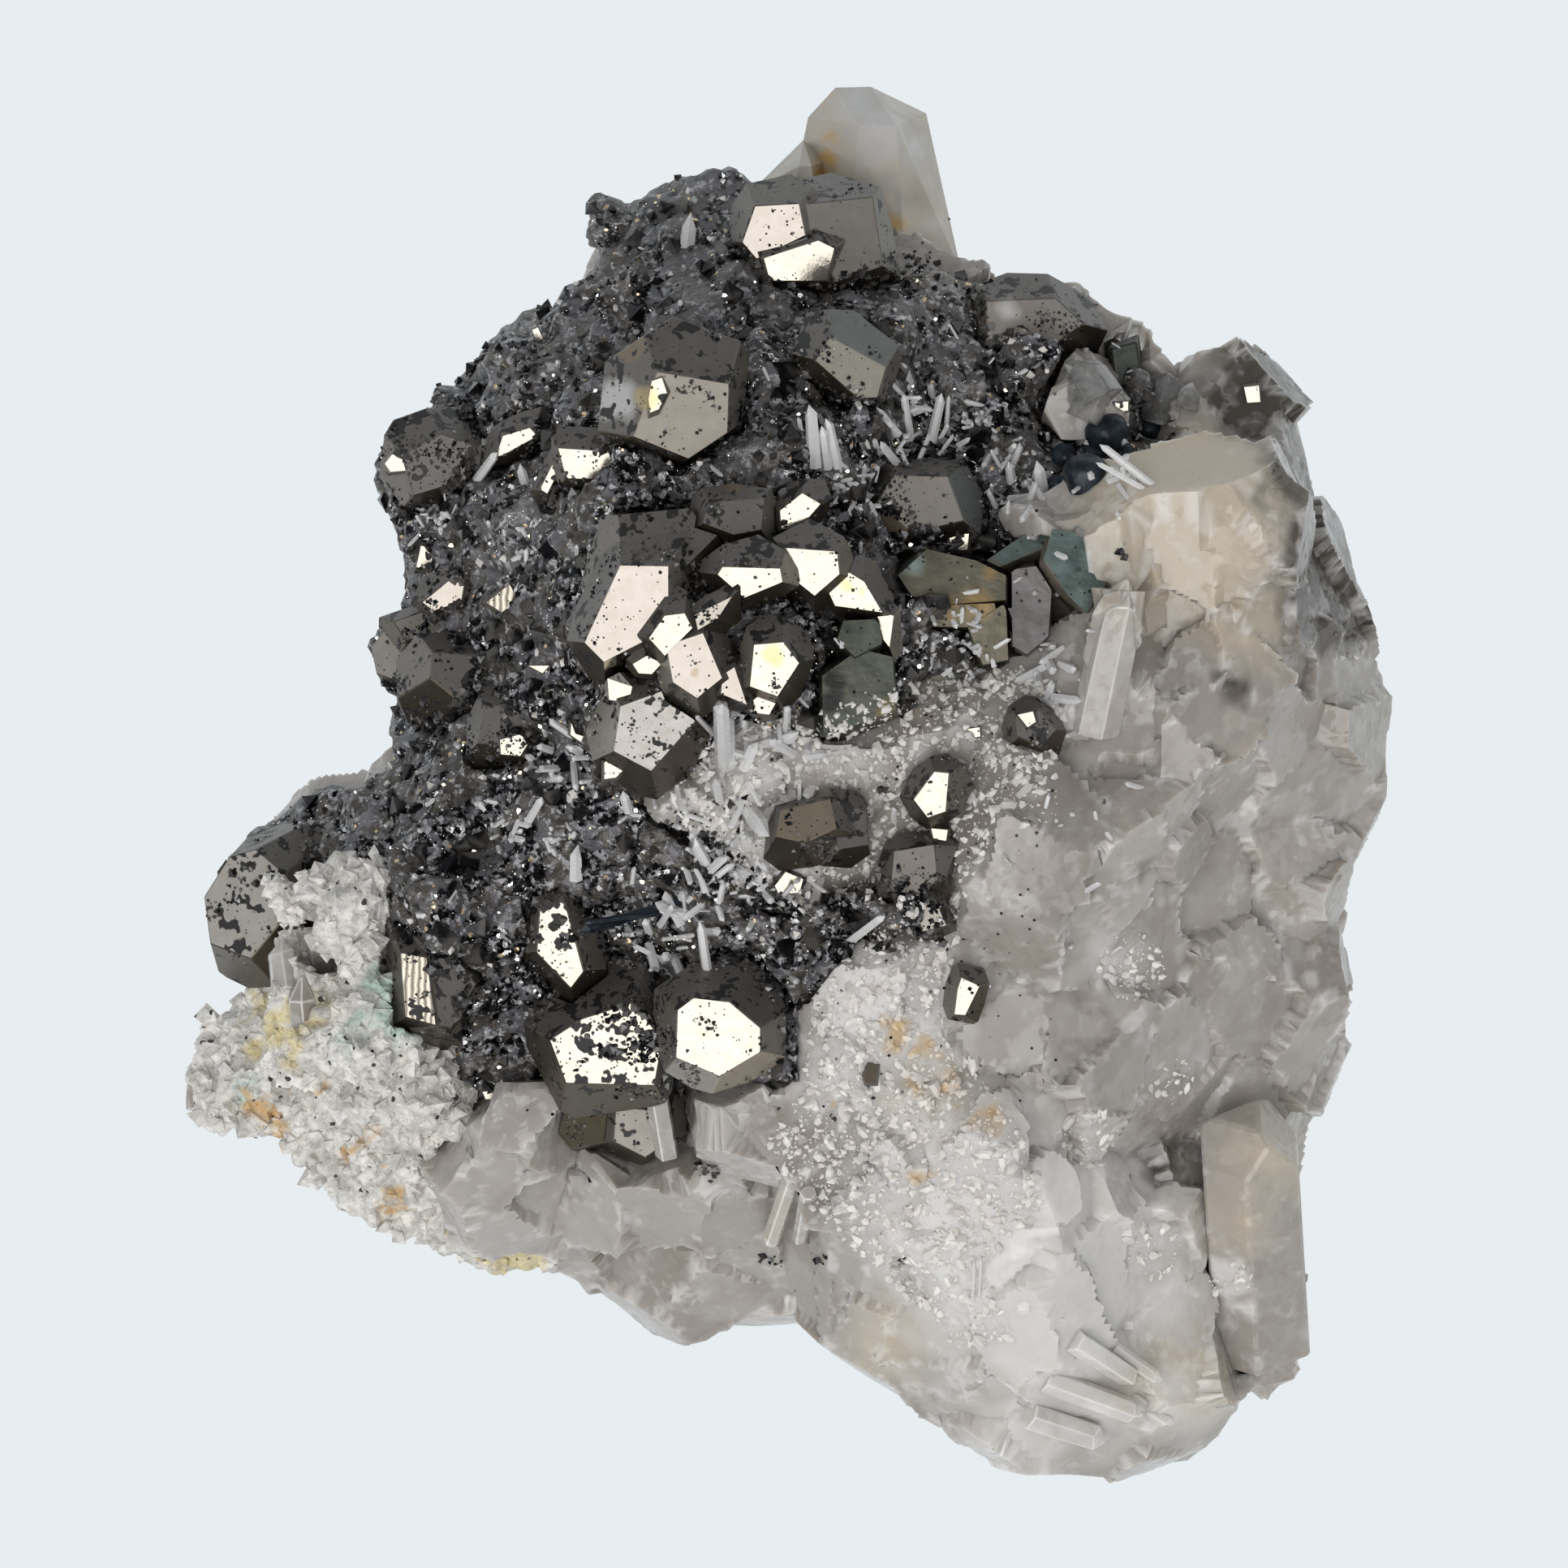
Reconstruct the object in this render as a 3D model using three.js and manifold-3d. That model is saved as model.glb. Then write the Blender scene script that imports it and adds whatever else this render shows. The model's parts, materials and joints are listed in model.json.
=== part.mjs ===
// A hand-sized specimen of pyrite on quartz, lying on its broken back with its crystals up.
// A milky quartz body carries a black sulfide crust over its upper and left parts, with pyrite
// crystals set in it, and a lump of altered rock at its lower left.
// Millimetres, +Z up. Places on the specimen's face are given as [across, down] in steps of
// stepSize, and the middle of the face, at faceMiddle, is the origin.
import * as THREE from "three";
import { ConvexGeometry } from "three/addons/geometries/ConvexGeometry.js";
import { mergeVertices } from "three/addons/utils/BufferGeometryUtils.js";
import Module from "manifold-3d";

const wasm = await Module();
wasm.setup();

// Driving dimensions, in millimetres.
const stepSize = 0.055; // one step across the face, so that 1738 steps are 95.6 mm
const faceMiddle = 966; // in steps, along both directions
const rimHeight = 13; // the widest level of the body
const crownHeight = 34; // the middle of the face, before its rises and hollows
const domeFullness = 0.72; // 1 for a round dome, less for a fuller one
const crustThickness = 6;
const crustSkirt = 9; // how much further the crust reaches down at its outer edge
const rockThickness = 8;
const rockSkirt = 4;
const gap = 0.3; // between pieces that touch
const crystalDepth = 1.29; // from a front face to the crystal's middle, as a share of its reach
const facetSize = 6.4; // the spacing of the broken facets
const facetRoughness = 1.1;
const sideRoughness = 0.07; // as a share of the body's reach
const underFacetSize = 13; // the same under the crust
const bluntness = 0.35; // how much of a quartz point is worn off, as a share of its radius
const fineness = 0.1; // detail smaller than this is left out of the large pieces

// The body's sides: the share of its outline at each height.
const sideProfile = [
  [0.85, 0],
  [0.96, 5],
  [1, rimHeight],
  [1, 70],
];

// Where the outline is measured from.
const bodyCentre = [1000, 1050];

// The edge of the body, clockwise from the left of the top crystal.
const bodyOutline = [
  [930, 224], [1000, 236], [1090, 248], [1150, 320], [1240, 356], [1310, 362], [1350, 385],
  [1440, 450], [1500, 470], [1560, 480], [1590, 550], [1600, 620], [1645, 690], [1680, 800],
  [1692, 900], [1675, 980], [1670, 1040], [1640, 1065], [1650, 1110], [1625, 1175],
  [1650, 1230], [1640, 1320], [1600, 1380], [1590, 1450], [1575, 1530], [1598, 1610],
  [1580, 1675], [1520, 1700], [1465, 1760], [1400, 1790], [1310, 1797], [1260, 1790],
  [1170, 1745], [1050, 1670], [1005, 1625], [920, 1630], [870, 1632], [810, 1650],
  [785, 1640], [760, 1612], [690, 1567], [660, 1552], [640, 1572], [600, 1562], [560, 1540],
  [510, 1525], [470, 1525], [440, 1500], [375, 1425], [340, 1395], [250, 1375], [228, 1330],
  [255, 1265], [305, 1235], [310, 1180], [275, 1155], [265, 1105], [285, 1065], [352, 990],
  [400, 966], [455, 968], [487, 948], [490, 870], [463, 800], [492, 755], [495, 680],
  [463, 565], [482, 533], [535, 500], [604, 415], [693, 366], [722, 343], [742, 296],
  [724, 264], [792, 244], [842, 214], [898, 208],
];

// The part of the face that the dark crust covers.
const crustOutline = [
  [930, 150], [1085, 200], [1100, 330], [1200, 345], [1260, 330], [1340, 355], [1330, 420],
  [1285, 450], [1290, 500], [1420, 500], [1480, 520], [1420, 575], [1330, 605], [1240, 640],
  [1240, 800], [1130, 840], [1090, 900], [1000, 905], [900, 885], [860, 940], [790, 960],
  [800, 1010], [870, 1050], [900, 1110], [960, 1130], [1060, 1090], [1110, 1110],
  [1040, 1170], [985, 1240], [985, 1330], [830, 1330], [690, 1345], [600, 1345], [560, 1290],
  [540, 1220], [490, 1130], [430, 1090], [370, 1120], [330, 1190], [200, 1190], [180, 1000],
  [380, 880], [430, 880], [420, 480], [560, 360], [680, 230], [740, 180], [850, 150],
];

// The part of the face that is altered rock, down to the base.
const rockOutline = [
  [150, 1220], [300, 1215], [345, 1130], [440, 1110], [500, 1140], [530, 1230], [560, 1300],
  [590, 1370], [570, 1430], [650, 1480], [700, 1600], [640, 1660], [400, 1660], [150, 1450],
];

// Rises and hollows of the face: place, how far they reach in steps, and height in millimetres.
const reliefs = [
  [[870, 740], 230, 10],
  [[850, 480], 130, 5],
  [[1040, 430], 120, 5],
  [[1250, 450], 130, 5],
  [[1480, 640], 150, 8],
  [[1440, 850], 150, 5],
  [[1280, 1010], 140, 4],
  [[540, 1050], 150, 6],
  [[440, 1310], 120, 3],
  [[750, 1500], 140, -6],
  [[960, 1500], 80, -6],
  [[775, 1160], 70, -6],
  [[640, 1260], 90, -6],
  [[475, 900], 90, -6],
  [[1060, 1290], 140, 5],
  [[1200, 1570], 150, 6],
  [[1350, 1700], 110, 4],
  [[1430, 1430], 80, -5],
  [[1170, 560], 100, -4],
  [[320, 1100], 80, 3],
];

const colours = {
  quartz: { color: 0xc9c4c0, roughness: 0.3, metalness: 0 },
  clearQuartz: { color: 0xb5b0a4, roughness: 0.2, metalness: 0 },
  crust: { color: 0x2c2c30, roughness: 0.4, metalness: 0.5 },
  rock: { color: 0xc8c6bd, roughness: 0.85, metalness: 0 },
  pyrite: { color: 0xb5a88c, roughness: 0.25, metalness: 1 },
  tarnish: { color: 0x6d7a72, roughness: 0.4, metalness: 0.7 },
};

// Steps across the face to millimetres.
const across = (steps) => (steps - faceMiddle) * stepSize;
const up = (steps) => (faceMiddle - steps) * stepSize;
const place = ([u, v]) => new THREE.Vector2(across(u), up(v));

// A repeatable run of numbers from 0 to 1.
function randomRun(seed) {
  let state = seed;
  return () => {
    state = (state + 0x6d2b79f5) | 0;
    let mixed = Math.imul(state ^ (state >>> 15), 1 | state);
    mixed = (mixed + Math.imul(mixed ^ (mixed >>> 7), 61 | mixed)) ^ mixed;
    return ((mixed ^ (mixed >>> 14)) >>> 0) / 4294967296;
  };
}

// A geometry as a solid, and a solid as a geometry.
function solidOf(geometry) {
  const bare = geometry.clone();
  bare.deleteAttribute("normal");
  bare.deleteAttribute("uv");
  const merged = mergeVertices(bare, 1e-4);
  return new wasm.Manifold(
    new wasm.Mesh({
      numProp: 3,
      vertProperties: merged.attributes.position.array,
      triVerts: new Uint32Array(merged.index.array),
    }),
  );
}

function geometryOf(solid) {
  const mesh = solid.getMesh();
  const points = new Float32Array(mesh.numVert * 3);
  for (let i = 0; i < mesh.numVert; i++) {
    const start = i * mesh.numProp;
    points.set(mesh.vertProperties.subarray(start, start + 3), i * 3);
  }
  const geometry = new THREE.BufferGeometry();
  geometry.setAttribute("position", new THREE.BufferAttribute(points, 3));
  geometry.setIndex(new THREE.BufferAttribute(mesh.triVerts, 1));
  geometry.computeVertexNormals();
  return geometry;
}

const joined = (solids) => wasm.Manifold.union(solids);

// The largest body of a solid, without the chips that a cut leaves.
function largest(solid) {
  const bodies = solid.decompose();
  return bodies.reduce((best, body) => (body.volume() > best.volume() ? body : best));
}

// The body's outline round its centre.
const centre = place(bodyCentre);
const rim = bodyOutline.map(place);

// How far out a point lies, from 0 at the centre to 1 on the rim.
function shareOut(x, y) {
  const aim = new THREE.Vector2(x, y).sub(centre);
  if (aim.length() < 1e-6) return 0;
  let furthest = 0;
  for (let i = 0; i < rim.length; i++) {
    const a = rim[i].clone().sub(centre);
    const edge = rim[(i + 1) % rim.length].clone().sub(centre).sub(a);
    const cross = aim.cross(edge);
    if (Math.abs(cross) < 1e-9) continue;
    const along = a.cross(edge) / cross;
    const onEdge = a.cross(aim) / cross;
    if (along > 0 && onEdge >= 0 && onEdge <= 1) furthest = Math.max(furthest, along);
  }
  return 1 / furthest;
}

// The height of the face above the base.
function faceHeight(x, y) {
  const out = Math.min(shareOut(x, y), 1.25);
  const dome = Math.max(0, 1 - out * out) ** domeFullness;
  let height = rimHeight + 1.5 + (crownHeight - rimHeight) * dome;
  for (const [spot, reach, rise] of reliefs) {
    const away = place(spot).distanceTo(new THREE.Vector2(x, y)) / (reach * stepSize);
    height += rise * Math.exp(-away * away) * Math.min(1, 6 * Math.max(0, 1.06 - out));
  }
  return height;
}

// The height of the quartz under a layer, which reaches further down at its outer edge.
function heightUnder(x, y, thickness, skirt) {
  const edge = THREE.MathUtils.smoothstep(shareOut(x, y), 0.84, 0.97) * skirt;
  return Math.max(3, faceHeight(x, y) - thickness - edge);
}

// A closed block whose top follows a height, in broken facets.
function terrain(heightAt, facet, roughness, seed) {
  const random = randomRun(seed);
  const half = 56;
  const count = Math.round((2 * half) / facet);
  const points = [];
  for (const top of [true, false]) {
    for (let j = 0; j <= count; j++) {
      for (let i = 0; i <= count; i++) {
        const x = -half + (i / count) * 2 * half + (random() - 0.5) * facet * 0.6;
        const y = -half + (j / count) * 2 * half + (random() - 0.5) * facet * 0.6;
        const broken = (random() - 0.5) * 2 * roughness;
        points.push(x, y, top ? heightAt(x, y) + broken : -5);
      }
    }
  }
  const row = count + 1;
  const below = row * row;
  const faces = [];
  const quad = (a, b, c, d) => faces.push(a, b, c, a, c, d);
  for (let j = 0; j < count; j++) {
    for (let i = 0; i < count; i++) {
      const a = j * row + i;
      quad(a, a + 1, a + row + 1, a + row);
      quad(below + a, below + a + row, below + a + row + 1, below + a + 1);
    }
  }
  for (let i = 0; i < count; i++) {
    const last = count * row;
    quad(i + 1, i, below + i, below + i + 1);
    quad(last + i, last + i + 1, below + last + i + 1, below + last + i);
    quad(i * row, (i + 1) * row, below + (i + 1) * row, below + i * row);
    const edge = i * row + count;
    quad(edge + row, edge, below + edge, below + edge + row);
  }
  const geometry = new THREE.BufferGeometry();
  geometry.setAttribute("position", new THREE.Float32BufferAttribute(points, 3));
  geometry.setIndex(faces);
  return solidOf(geometry);
}

// The body's sides as rings of its outline, closed at the base and far above the face.
function sides() {
  const random = randomRun(11);
  const points = [];
  const count = rim.length;
  for (const [share, height] of sideProfile) {
    for (const corner of rim) {
      const wander = share < 1 ? 1 + (random() - 0.5) * sideRoughness : 1;
      const ring = corner.clone().sub(centre).multiplyScalar(share * wander).add(centre);
      points.push(ring.x, ring.y, height);
    }
  }
  const faces = [];
  for (let level = 0; level + 1 < sideProfile.length; level++) {
    for (let i = 0; i < count; i++) {
      const a = level * count + i;
      const b = level * count + ((i + 1) % count);
      faces.push(a, a + count, b + count, a, b + count, b);
    }
  }
  const foot = points.length / 3;
  points.push(centre.x, centre.y, 0, centre.x, centre.y, sideProfile.at(-1)[1]);
  const lastRing = (sideProfile.length - 1) * count;
  for (let i = 0; i < count; i++) {
    const next = (i + 1) % count;
    faces.push(foot, i, next);
    faces.push(foot + 1, lastRing + next, lastRing + i);
  }
  const geometry = new THREE.BufferGeometry();
  geometry.setAttribute("position", new THREE.Float32BufferAttribute(points, 3));
  geometry.setIndex(faces);
  return solidOf(geometry);
}

// An upright block over part of the face, with its outline moved out by grow.
function blockOver(outline, grow) {
  const points = outline.map(place);
  if (THREE.ShapeUtils.isClockWise(points)) points.reverse();
  const moved = points.map((point, i) => {
    const before = points.at(i - 1).clone().sub(point).normalize();
    const after = points[(i + 1) % points.length].clone().sub(point).normalize();
    const out = new THREE.Vector2(after.y - before.y, before.x - after.x).normalize();
    return point.clone().addScaledVector(out, grow);
  });
  const block = new THREE.ExtrudeGeometry(new THREE.Shape(moved), {
    depth: 90,
    bevelEnabled: false,
  });
  block.translate(0, 0, -10);
  return solidOf(block);
}

function isInside([u, v], outline) {
  let inside = false;
  for (let i = 0, j = outline.length - 1; i < outline.length; j = i++) {
    const [ui, vi] = outline[i];
    const [uj, vj] = outline[j];
    if (vi > v !== vj > v && u < ((uj - ui) * (v - vi)) / (vj - vi) + ui) inside = !inside;
  }
  return inside;
}

// The solid inside a set of planes, each a normal and a distance, all moved out by grow.
function insidePlanes(planes, grow = 0) {
  const corners = [];
  const crossing = new THREE.Matrix3();
  for (let i = 0; i < planes.length; i++) {
    for (let j = i + 1; j < planes.length; j++) {
      for (let k = j + 1; k < planes.length; k++) {
        const [a, b, c] = [planes[i], planes[j], planes[k]];
        const [p, q, r] = [a.normal, b.normal, c.normal];
        crossing.set(p.x, p.y, p.z, q.x, q.y, q.z, r.x, r.y, r.z);
        if (Math.abs(crossing.determinant()) < 1e-3) continue;
        const corner = new THREE.Vector3(a.far + grow, b.far + grow, c.far + grow);
        corner.applyMatrix3(crossing.clone().invert());
        if (planes.every((s) => s.normal.dot(corner) < s.far + grow + 1e-6)) {
          corners.push(corner);
        }
      }
    }
  }
  return new ConvexGeometry(corners);
}

// A quartz crystal along +Z from its root at 0: a six-sided prism, and a point of three large
// faces, between which a large crystal has three smaller ones.
function quartzPlanes(radius, length, random) {
  const planes = [{ normal: new THREE.Vector3(0, 0, -1), far: 0 }];
  planes.push({ normal: new THREE.Vector3(0, 0, 1), far: length - bluntness * radius });
  const tilt = THREE.MathUtils.degToRad(51.8);
  for (let i = 0; i < 6; i++) {
    const turn = (i * Math.PI) / 3;
    const side = new THREE.Vector3(Math.cos(turn), Math.sin(turn), 0);
    planes.push({ normal: side, far: radius * (0.86 + 0.22 * random()) });
    const cap = side.clone().multiplyScalar(Math.sin(tilt)).setZ(Math.cos(tilt));
    const lower = i % 2 === 0 ? 0 : 0.16 * radius;
    const far = length * Math.cos(tilt) + lower + 0.22 * radius * (random() - 0.3);
    if (i % 2 === 0 || radius > 3.5) planes.push({ normal: cap, far });
  }
  return planes;
}

// A rough grain inside a few random planes.
function grainPlanes(size, random, count = 7) {
  const planes = [];
  const turnStep = Math.PI * (3 - Math.sqrt(5));
  for (let i = 0; i < count; i++) {
    const z = 1 - (2 * i + 1) / count;
    const turn = i * turnStep + random();
    const flat = Math.sqrt(1 - z * z);
    const normal = new THREE.Vector3(flat * Math.cos(turn), flat * Math.sin(turn), z);
    planes.push({ normal, far: size * (0.75 + 0.35 * random()) });
  }
  return planes;
}

// The pyrites, by the face of each crystal that is seen first: its corners, from the edge over
// which the next face turns away least, its lean across and up, and how far its middle stands
// above the face of the specimen.
const pyrites = {
  pyrite_top: [
    [[[993, 293], [932, 322], [914, 301], [930, 256], [985, 253]], [-0.12, -0.1], 6.0],
    [[[940, 320], [1008, 298], [1029, 308], [1018, 349], [948, 349]], [0, -0.2], 2.5],
    [[[1075, 244], [1088, 330], [1030, 350], [996, 292], [988, 254]], [0.32, 0.05], 4.9],
  ],
  pyrite_upper_large: [
    [[[812, 466], [900, 480], [898, 540], [850, 572], [782, 545]], [0.22, -0.42], 3.6],
  ],
  pyrite_upper_middle: [
    [[[1022, 421], [1091, 458], [1080, 496], [1056, 497], [1003, 451]], [0.15, -0.32], 3.2],
  ],
  pyrite_upper_right: [
    [[[1215, 372], [1300, 368], [1335, 400], [1290, 432], [1215, 425]], [0.02, 0.1], 2.6],
  ],
  pyrite_left_edge: [
    [[[497, 560], [545, 535], [590, 552], [575, 592], [510, 612]], [0.1, -0.15], 3],
  ],
  pyrite_left_small: [
    [[[620, 538], [661, 526], [664, 540], [622, 563], [611, 566]], [-0.05, -0.15], 2],
  ],
  pyrite_left_bright: [
    [[[690, 556], [752, 560], [758, 576], [750, 595], [700, 594]], [-0.05, -0.15], 2.6],
    [[[684, 572], [694, 578], [677, 612], [667, 606]], [-0.1, -0.12], 2],
  ],
  pyrite_middle_small: [
    [[[988, 612], [1012, 626], [984, 658], [962, 658], [960, 634]], [-0.05, -0.14], 2.2],
  ],
  pyrite_middle_dark: [
    [[[875, 625], [942, 620], [938, 658], [905, 664], [868, 650]], [0.05, 0.12], 2],
  ],
  pyrite_right_of_middle: [
    [[[1122, 660], [1080, 622], [1100, 588], [1166, 590], [1186, 645]], [-0.02, 0.12], 3.4],
  ],
  pyrite_cluster: [
    [[[768, 702], [826, 703], [826, 742], [803, 790], [748, 818], [725, 795]], [-0.1, -0.14], 4.2],
    [[[850, 632], [885, 665], [850, 700], [770, 698], [765, 640]], [0.05, 0.42], 3.2],
    [[[822, 763], [846, 760], [855, 778], [822, 811], [803, 790]], [0, -0.16], 3.8],
    [[[858, 762], [903, 740], [886, 766], [862, 780]], [-0.25, -0.1], 3.2],
    [[[892, 704], [961, 706], [964, 722], [918, 741], [886, 713]], [-0.02, -0.15], 3.4],
    [[[962, 680], [1030, 685], [1033, 712], [1003, 738], [974, 715]], [0, -0.1], 3.6],
    [[[1045, 710], [1063, 721], [1085, 758], [1028, 750], [1017, 727]], [-0.04, -0.16], 3.6],
    [[[1078, 757], [1099, 762], [1094, 800], [1086, 790]], [-0.04, -0.14], 3.2],
    [[[824, 799], [868, 784], [891, 838], [861, 862], [832, 843]], [-0.06, -0.1], 3.4],
    [[[930, 798], [965, 795], [984, 820], [958, 860], [925, 848]], [-0.03, -0.15], 3.6],
    [[[892, 834], [906, 825], [921, 870], [890, 857]], [-0.04, -0.1], 2.8],
    [[[922, 870], [940, 856], [957, 866], [948, 882], [932, 880]], [-0.04, -0.12], 2.2],
    [[[783, 821], [800, 811], [818, 820], [806, 833], [790, 832]], [-0.04, -0.15], 2.8],
  ],
  pyrite_grey: [
    [[[768, 872], [828, 850], [858, 890], [805, 950], [760, 926]], [0, -0.02], 3],
    [[[752, 838], [765, 829], [782, 848], [778, 867], [754, 864]], [-0.05, -0.15], 2.4],
  ],
  pyrite_left_pink: [
    [[[520, 743], [555, 714], [574, 720], [570, 743], [535, 754]], [-0.08, -0.1], 2.2],
  ],
  pyrite_left_dark: [
    [[[480, 764], [500, 789], [485, 838], [462, 830], [455, 797]], [-0.65, 0.1], 1.5],
    [[[484, 766], [522, 752], [546, 776], [500, 790]], [-0.15, 0.25], 2.6],
  ],
  pyrite_left_flat: [
    [[[534, 804], [636, 812], [640, 845], [562, 860], [532, 836]], [0.12, 0.15], 2.1],
  ],
  pyrite_left_low: [
    [[[600, 871], [655, 868], [658, 905], [640, 922], [592, 916]], [0, 0.12], 2],
    [[[619, 912], [645, 905], [653, 918], [644, 932], [620, 930]], [-0.05, -0.15], 2.2],
  ],
  pyrite_arm_end: [
    [
      [[316, 1046], [354, 1077], [363, 1118], [310, 1181], [260, 1163], [252, 1105], [283, 1056]],
      [-0.5, 0.12],
      3.2,
    ],
  ],
  pyrite_striped: [
    [[[498, 1172], [530, 1178], [541, 1260], [504, 1250]], [-0.12, -0.12], 2.8],
    [[[530, 1166], [548, 1162], [590, 1210], [560, 1263], [541, 1260]], [0.3, -0.08], 2.6],
  ],
  pyrite_streaked: [
    [[[668, 1115], [698, 1106], [722, 1195], [706, 1216], [664, 1172]], [-0.05, -0.12], 2.4],
  ],
  pyrite_low_left: [
    [
      [[808, 1334], [700, 1331], [680, 1278], [720, 1252], [782, 1232], [818, 1278]],
      [-0.04, -0.13],
      5,
    ],
    [[[760, 1362], [828, 1366], [831, 1400], [796, 1424], [757, 1404]], [0.1, -0.3], 3.6],
    [[[700, 1362], [757, 1366], [752, 1405], [705, 1412], [690, 1395]], [-0.2, -0.35], 3.2],
  ],
  pyrite_low_right: [
    [
      [[888, 1322], [834, 1299], [836, 1240], [856, 1225], [900, 1230], [938, 1262], [938, 1292]],
      [-0.05, -0.13],
      5.2,
    ],
  ],
  pyrite_druse_dark: [
    [[[1022, 984], [1030, 1020], [992, 1038], [956, 1030], [962, 998]], [-0.2, 0.2], 3],
    [[[1030, 985], [1065, 1000], [1068, 1040], [1035, 1045], [1028, 1020]], [0.35, 0.05], 2.8],
  ],
  pyrite_druse_bright: [
    [[[1167, 952], [1163, 1000], [1140, 1008], [1122, 985], [1148, 950]], [-0.1, -0.12], 3],
  ],
  pyrite_druse_grey: [
    [[[1100, 1048], [1148, 1040], [1152, 1082], [1130, 1102], [1096, 1094]], [0, 0.12], 2.2],
    [[[1150, 1040], [1176, 1042], [1162, 1082], [1150, 1085]], [0.3, 0.1], 1.8],
    [[[1127, 1120], [1147, 1100], [1163, 1138], [1135, 1145]], [0.05, -0.05], 2],
  ],
  pyrite_druse_small: [
    [[[1205, 1211], [1187, 1248], [1172, 1247], [1176, 1215], [1181, 1200]], [-0.1, -0.12], 2.4],
  ],
  pyrite_right_small: [
    [[[1248, 882], [1275, 874], [1298, 900], [1278, 922], [1250, 908]], [0, 0.1], 2.2],
  ],
};

// Blocky crystals of tarnished pyrite, given in the same way.
const tarnished = {
  tarnished_block: [
    [[[1105, 712], [1140, 680], [1200, 694], [1236, 712], [1236, 742], [1130, 750]], [0, 0.08], 3.4],
    [[[1118, 750], [1222, 746], [1230, 776], [1130, 774]], [0, -0.05], 2.2],
    [[[1190, 776], [1236, 745], [1239, 815], [1208, 821]], [0.03, -0.08], 2.2],
  ],
  tarnished_plate: [
    [[[1293, 655], [1323, 660], [1363, 696], [1358, 722], [1330, 764], [1282, 692]], [0.1, 0.12], 3.4],
    [[[1203, 700], [1268, 655], [1295, 660], [1283, 678], [1218, 706]], [-0.1, 0.2], 2.8],
  ],
  tarnished_green: [
    [[[1012, 835], [1058, 802], [1098, 812], [1102, 876], [1045, 898], [1014, 905]], [0.04, 0.05], 2.6],
    [[[1038, 768], [1079, 766], [1085, 796], [1052, 812], [1030, 792]], [0.02, 0.1], 3],
  ],
  grey_block: [
    [[[1236, 706], [1276, 700], [1292, 730], [1288, 786], [1262, 808], [1240, 795]], [0.02, 0], 1.8],
  ],
  green_bar: [[[[1368, 430], [1400, 421], [1412, 500], [1380, 515]], [0, 0], 2]],
};

// Quartz crystals: root, point, radius, how deep the root is sunk and how far the point stands
// over the face of the specimen.
const quartzCrystals = [
  // along the upper edge
  [[1190, 400], [1224, 318], 2.6, 7, 3],
  [[1300, 430], [1334, 333], 2.8, 6, 7],
  [[1360, 480], [1432, 412], 3.2, 7, 5],
  [[1510, 540], [1542, 407], 3.4, 7, 7],
  [[1520, 560], [1622, 464], 4, 6, 6],
  // down the right edge
  [[1500, 620], [1618, 585], 4, 6, 6],
  [[1530, 740], [1664, 632], 4.6, 6, 5],
  [[1500, 780], [1710, 785], 6, 8, 3],
  [[1480, 900], [1716, 885], 6.4, 8, 2],
  [[1500, 990], [1722, 1015], 4.6, 7, 1],
  [[1480, 1090], [1690, 1096], 5, 7, 3],
  [[1480, 1190], [1688, 1228], 5.2, 6, 2],
  [[1480, 1280], [1680, 1330], 5, 6, 0],
  [[1470, 1370], [1620, 1428], 4.4, 6, 2],
  [[1500, 1530], [1628, 1600], 4, 5, 0],
  [[1480, 1600], [1608, 1706], 4.4, 5, -1],
  // along the bottom edge
  [[1400, 1620], [1542, 1740], 4.4, 5, 0],
  [[1360, 1680], [1494, 1786], 4, 5, -2],
  [[1320, 1690], [1400, 1798], 4, 5, -2],
  [[1225, 1640], [1262, 1822], 2.8, 3, 2],
  [[1140, 1580], [1172, 1742], 4, 5, -1],
  [[1100, 1560], [1056, 1672], 4.6, 5, -2],
  [[960, 1540], [928, 1628], 4, 4, -2],
  [[880, 1530], [812, 1654], 4.4, 4, -2],
  // long fingers over the bottom edge
  [[1270, 1650], [1412, 1742], 1.7, 1, 5],
  [[1270, 1690], [1395, 1770], 1.8, 1, 3],
  [[1240, 1600], [1345, 1660], 2, 1, 3],
  // the hollow below the pyrites
  [[590, 1440], [688, 1335], 2.6, 2, 4],
  [[640, 1500], [560, 1430], 3.4, 3, 3],
  [[700, 1470], [860, 1440], 4.6, 4, 2],
  [[880, 1340], [1066, 1488], 2.6, 1, 3],
  [[900, 1560], [880, 1420], 2, 1, 3],
  // on the big pale crystal
  [[1350, 870], [1372, 722], 1.9, 1, 6],
  [[1520, 760], [1430, 960], 5, 5, 3],
  [[1560, 830], [1500, 930], 3, 3, 3],
  // gem-like crystals of the upper right
  [[1345, 520], [1322, 462], 2.6, 3, 4],
  [[1440, 540], [1438, 470], 2.3, 3, 4],
  // the lower left end
  [[370, 1330], [208, 1342], 3.6, 13, -1],
  [[370, 1290], [245, 1264], 2.6, 13, -1],
  [[430, 1200], [388, 1130], 2.4, 3, 3],
  // the middle of the right side
  [[1260, 1080], [1290, 985], 4.6, 4, 4],
  [[1300, 1150], [1230, 1070], 3.8, 3, 3],
  [[1400, 1080], [1400, 960], 4, 4, 3],
  [[1440, 1180], [1510, 1120], 3.6, 3, 4],
  [[1360, 1200], [1345, 1180], 4, 4, 3],
  [[1400, 1330], [1440, 1290], 4.6, 4, 3],
  [[1350, 1320], [1300, 1350], 4, 3, 4],
  [[1260, 1240], [1262, 1210], 3.8, 3, 3],
  [[1220, 1400], [1250, 1440], 4, 4, 4],
  [[1320, 1480], [1345, 1530], 4.2, 4, 3],
];

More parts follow.
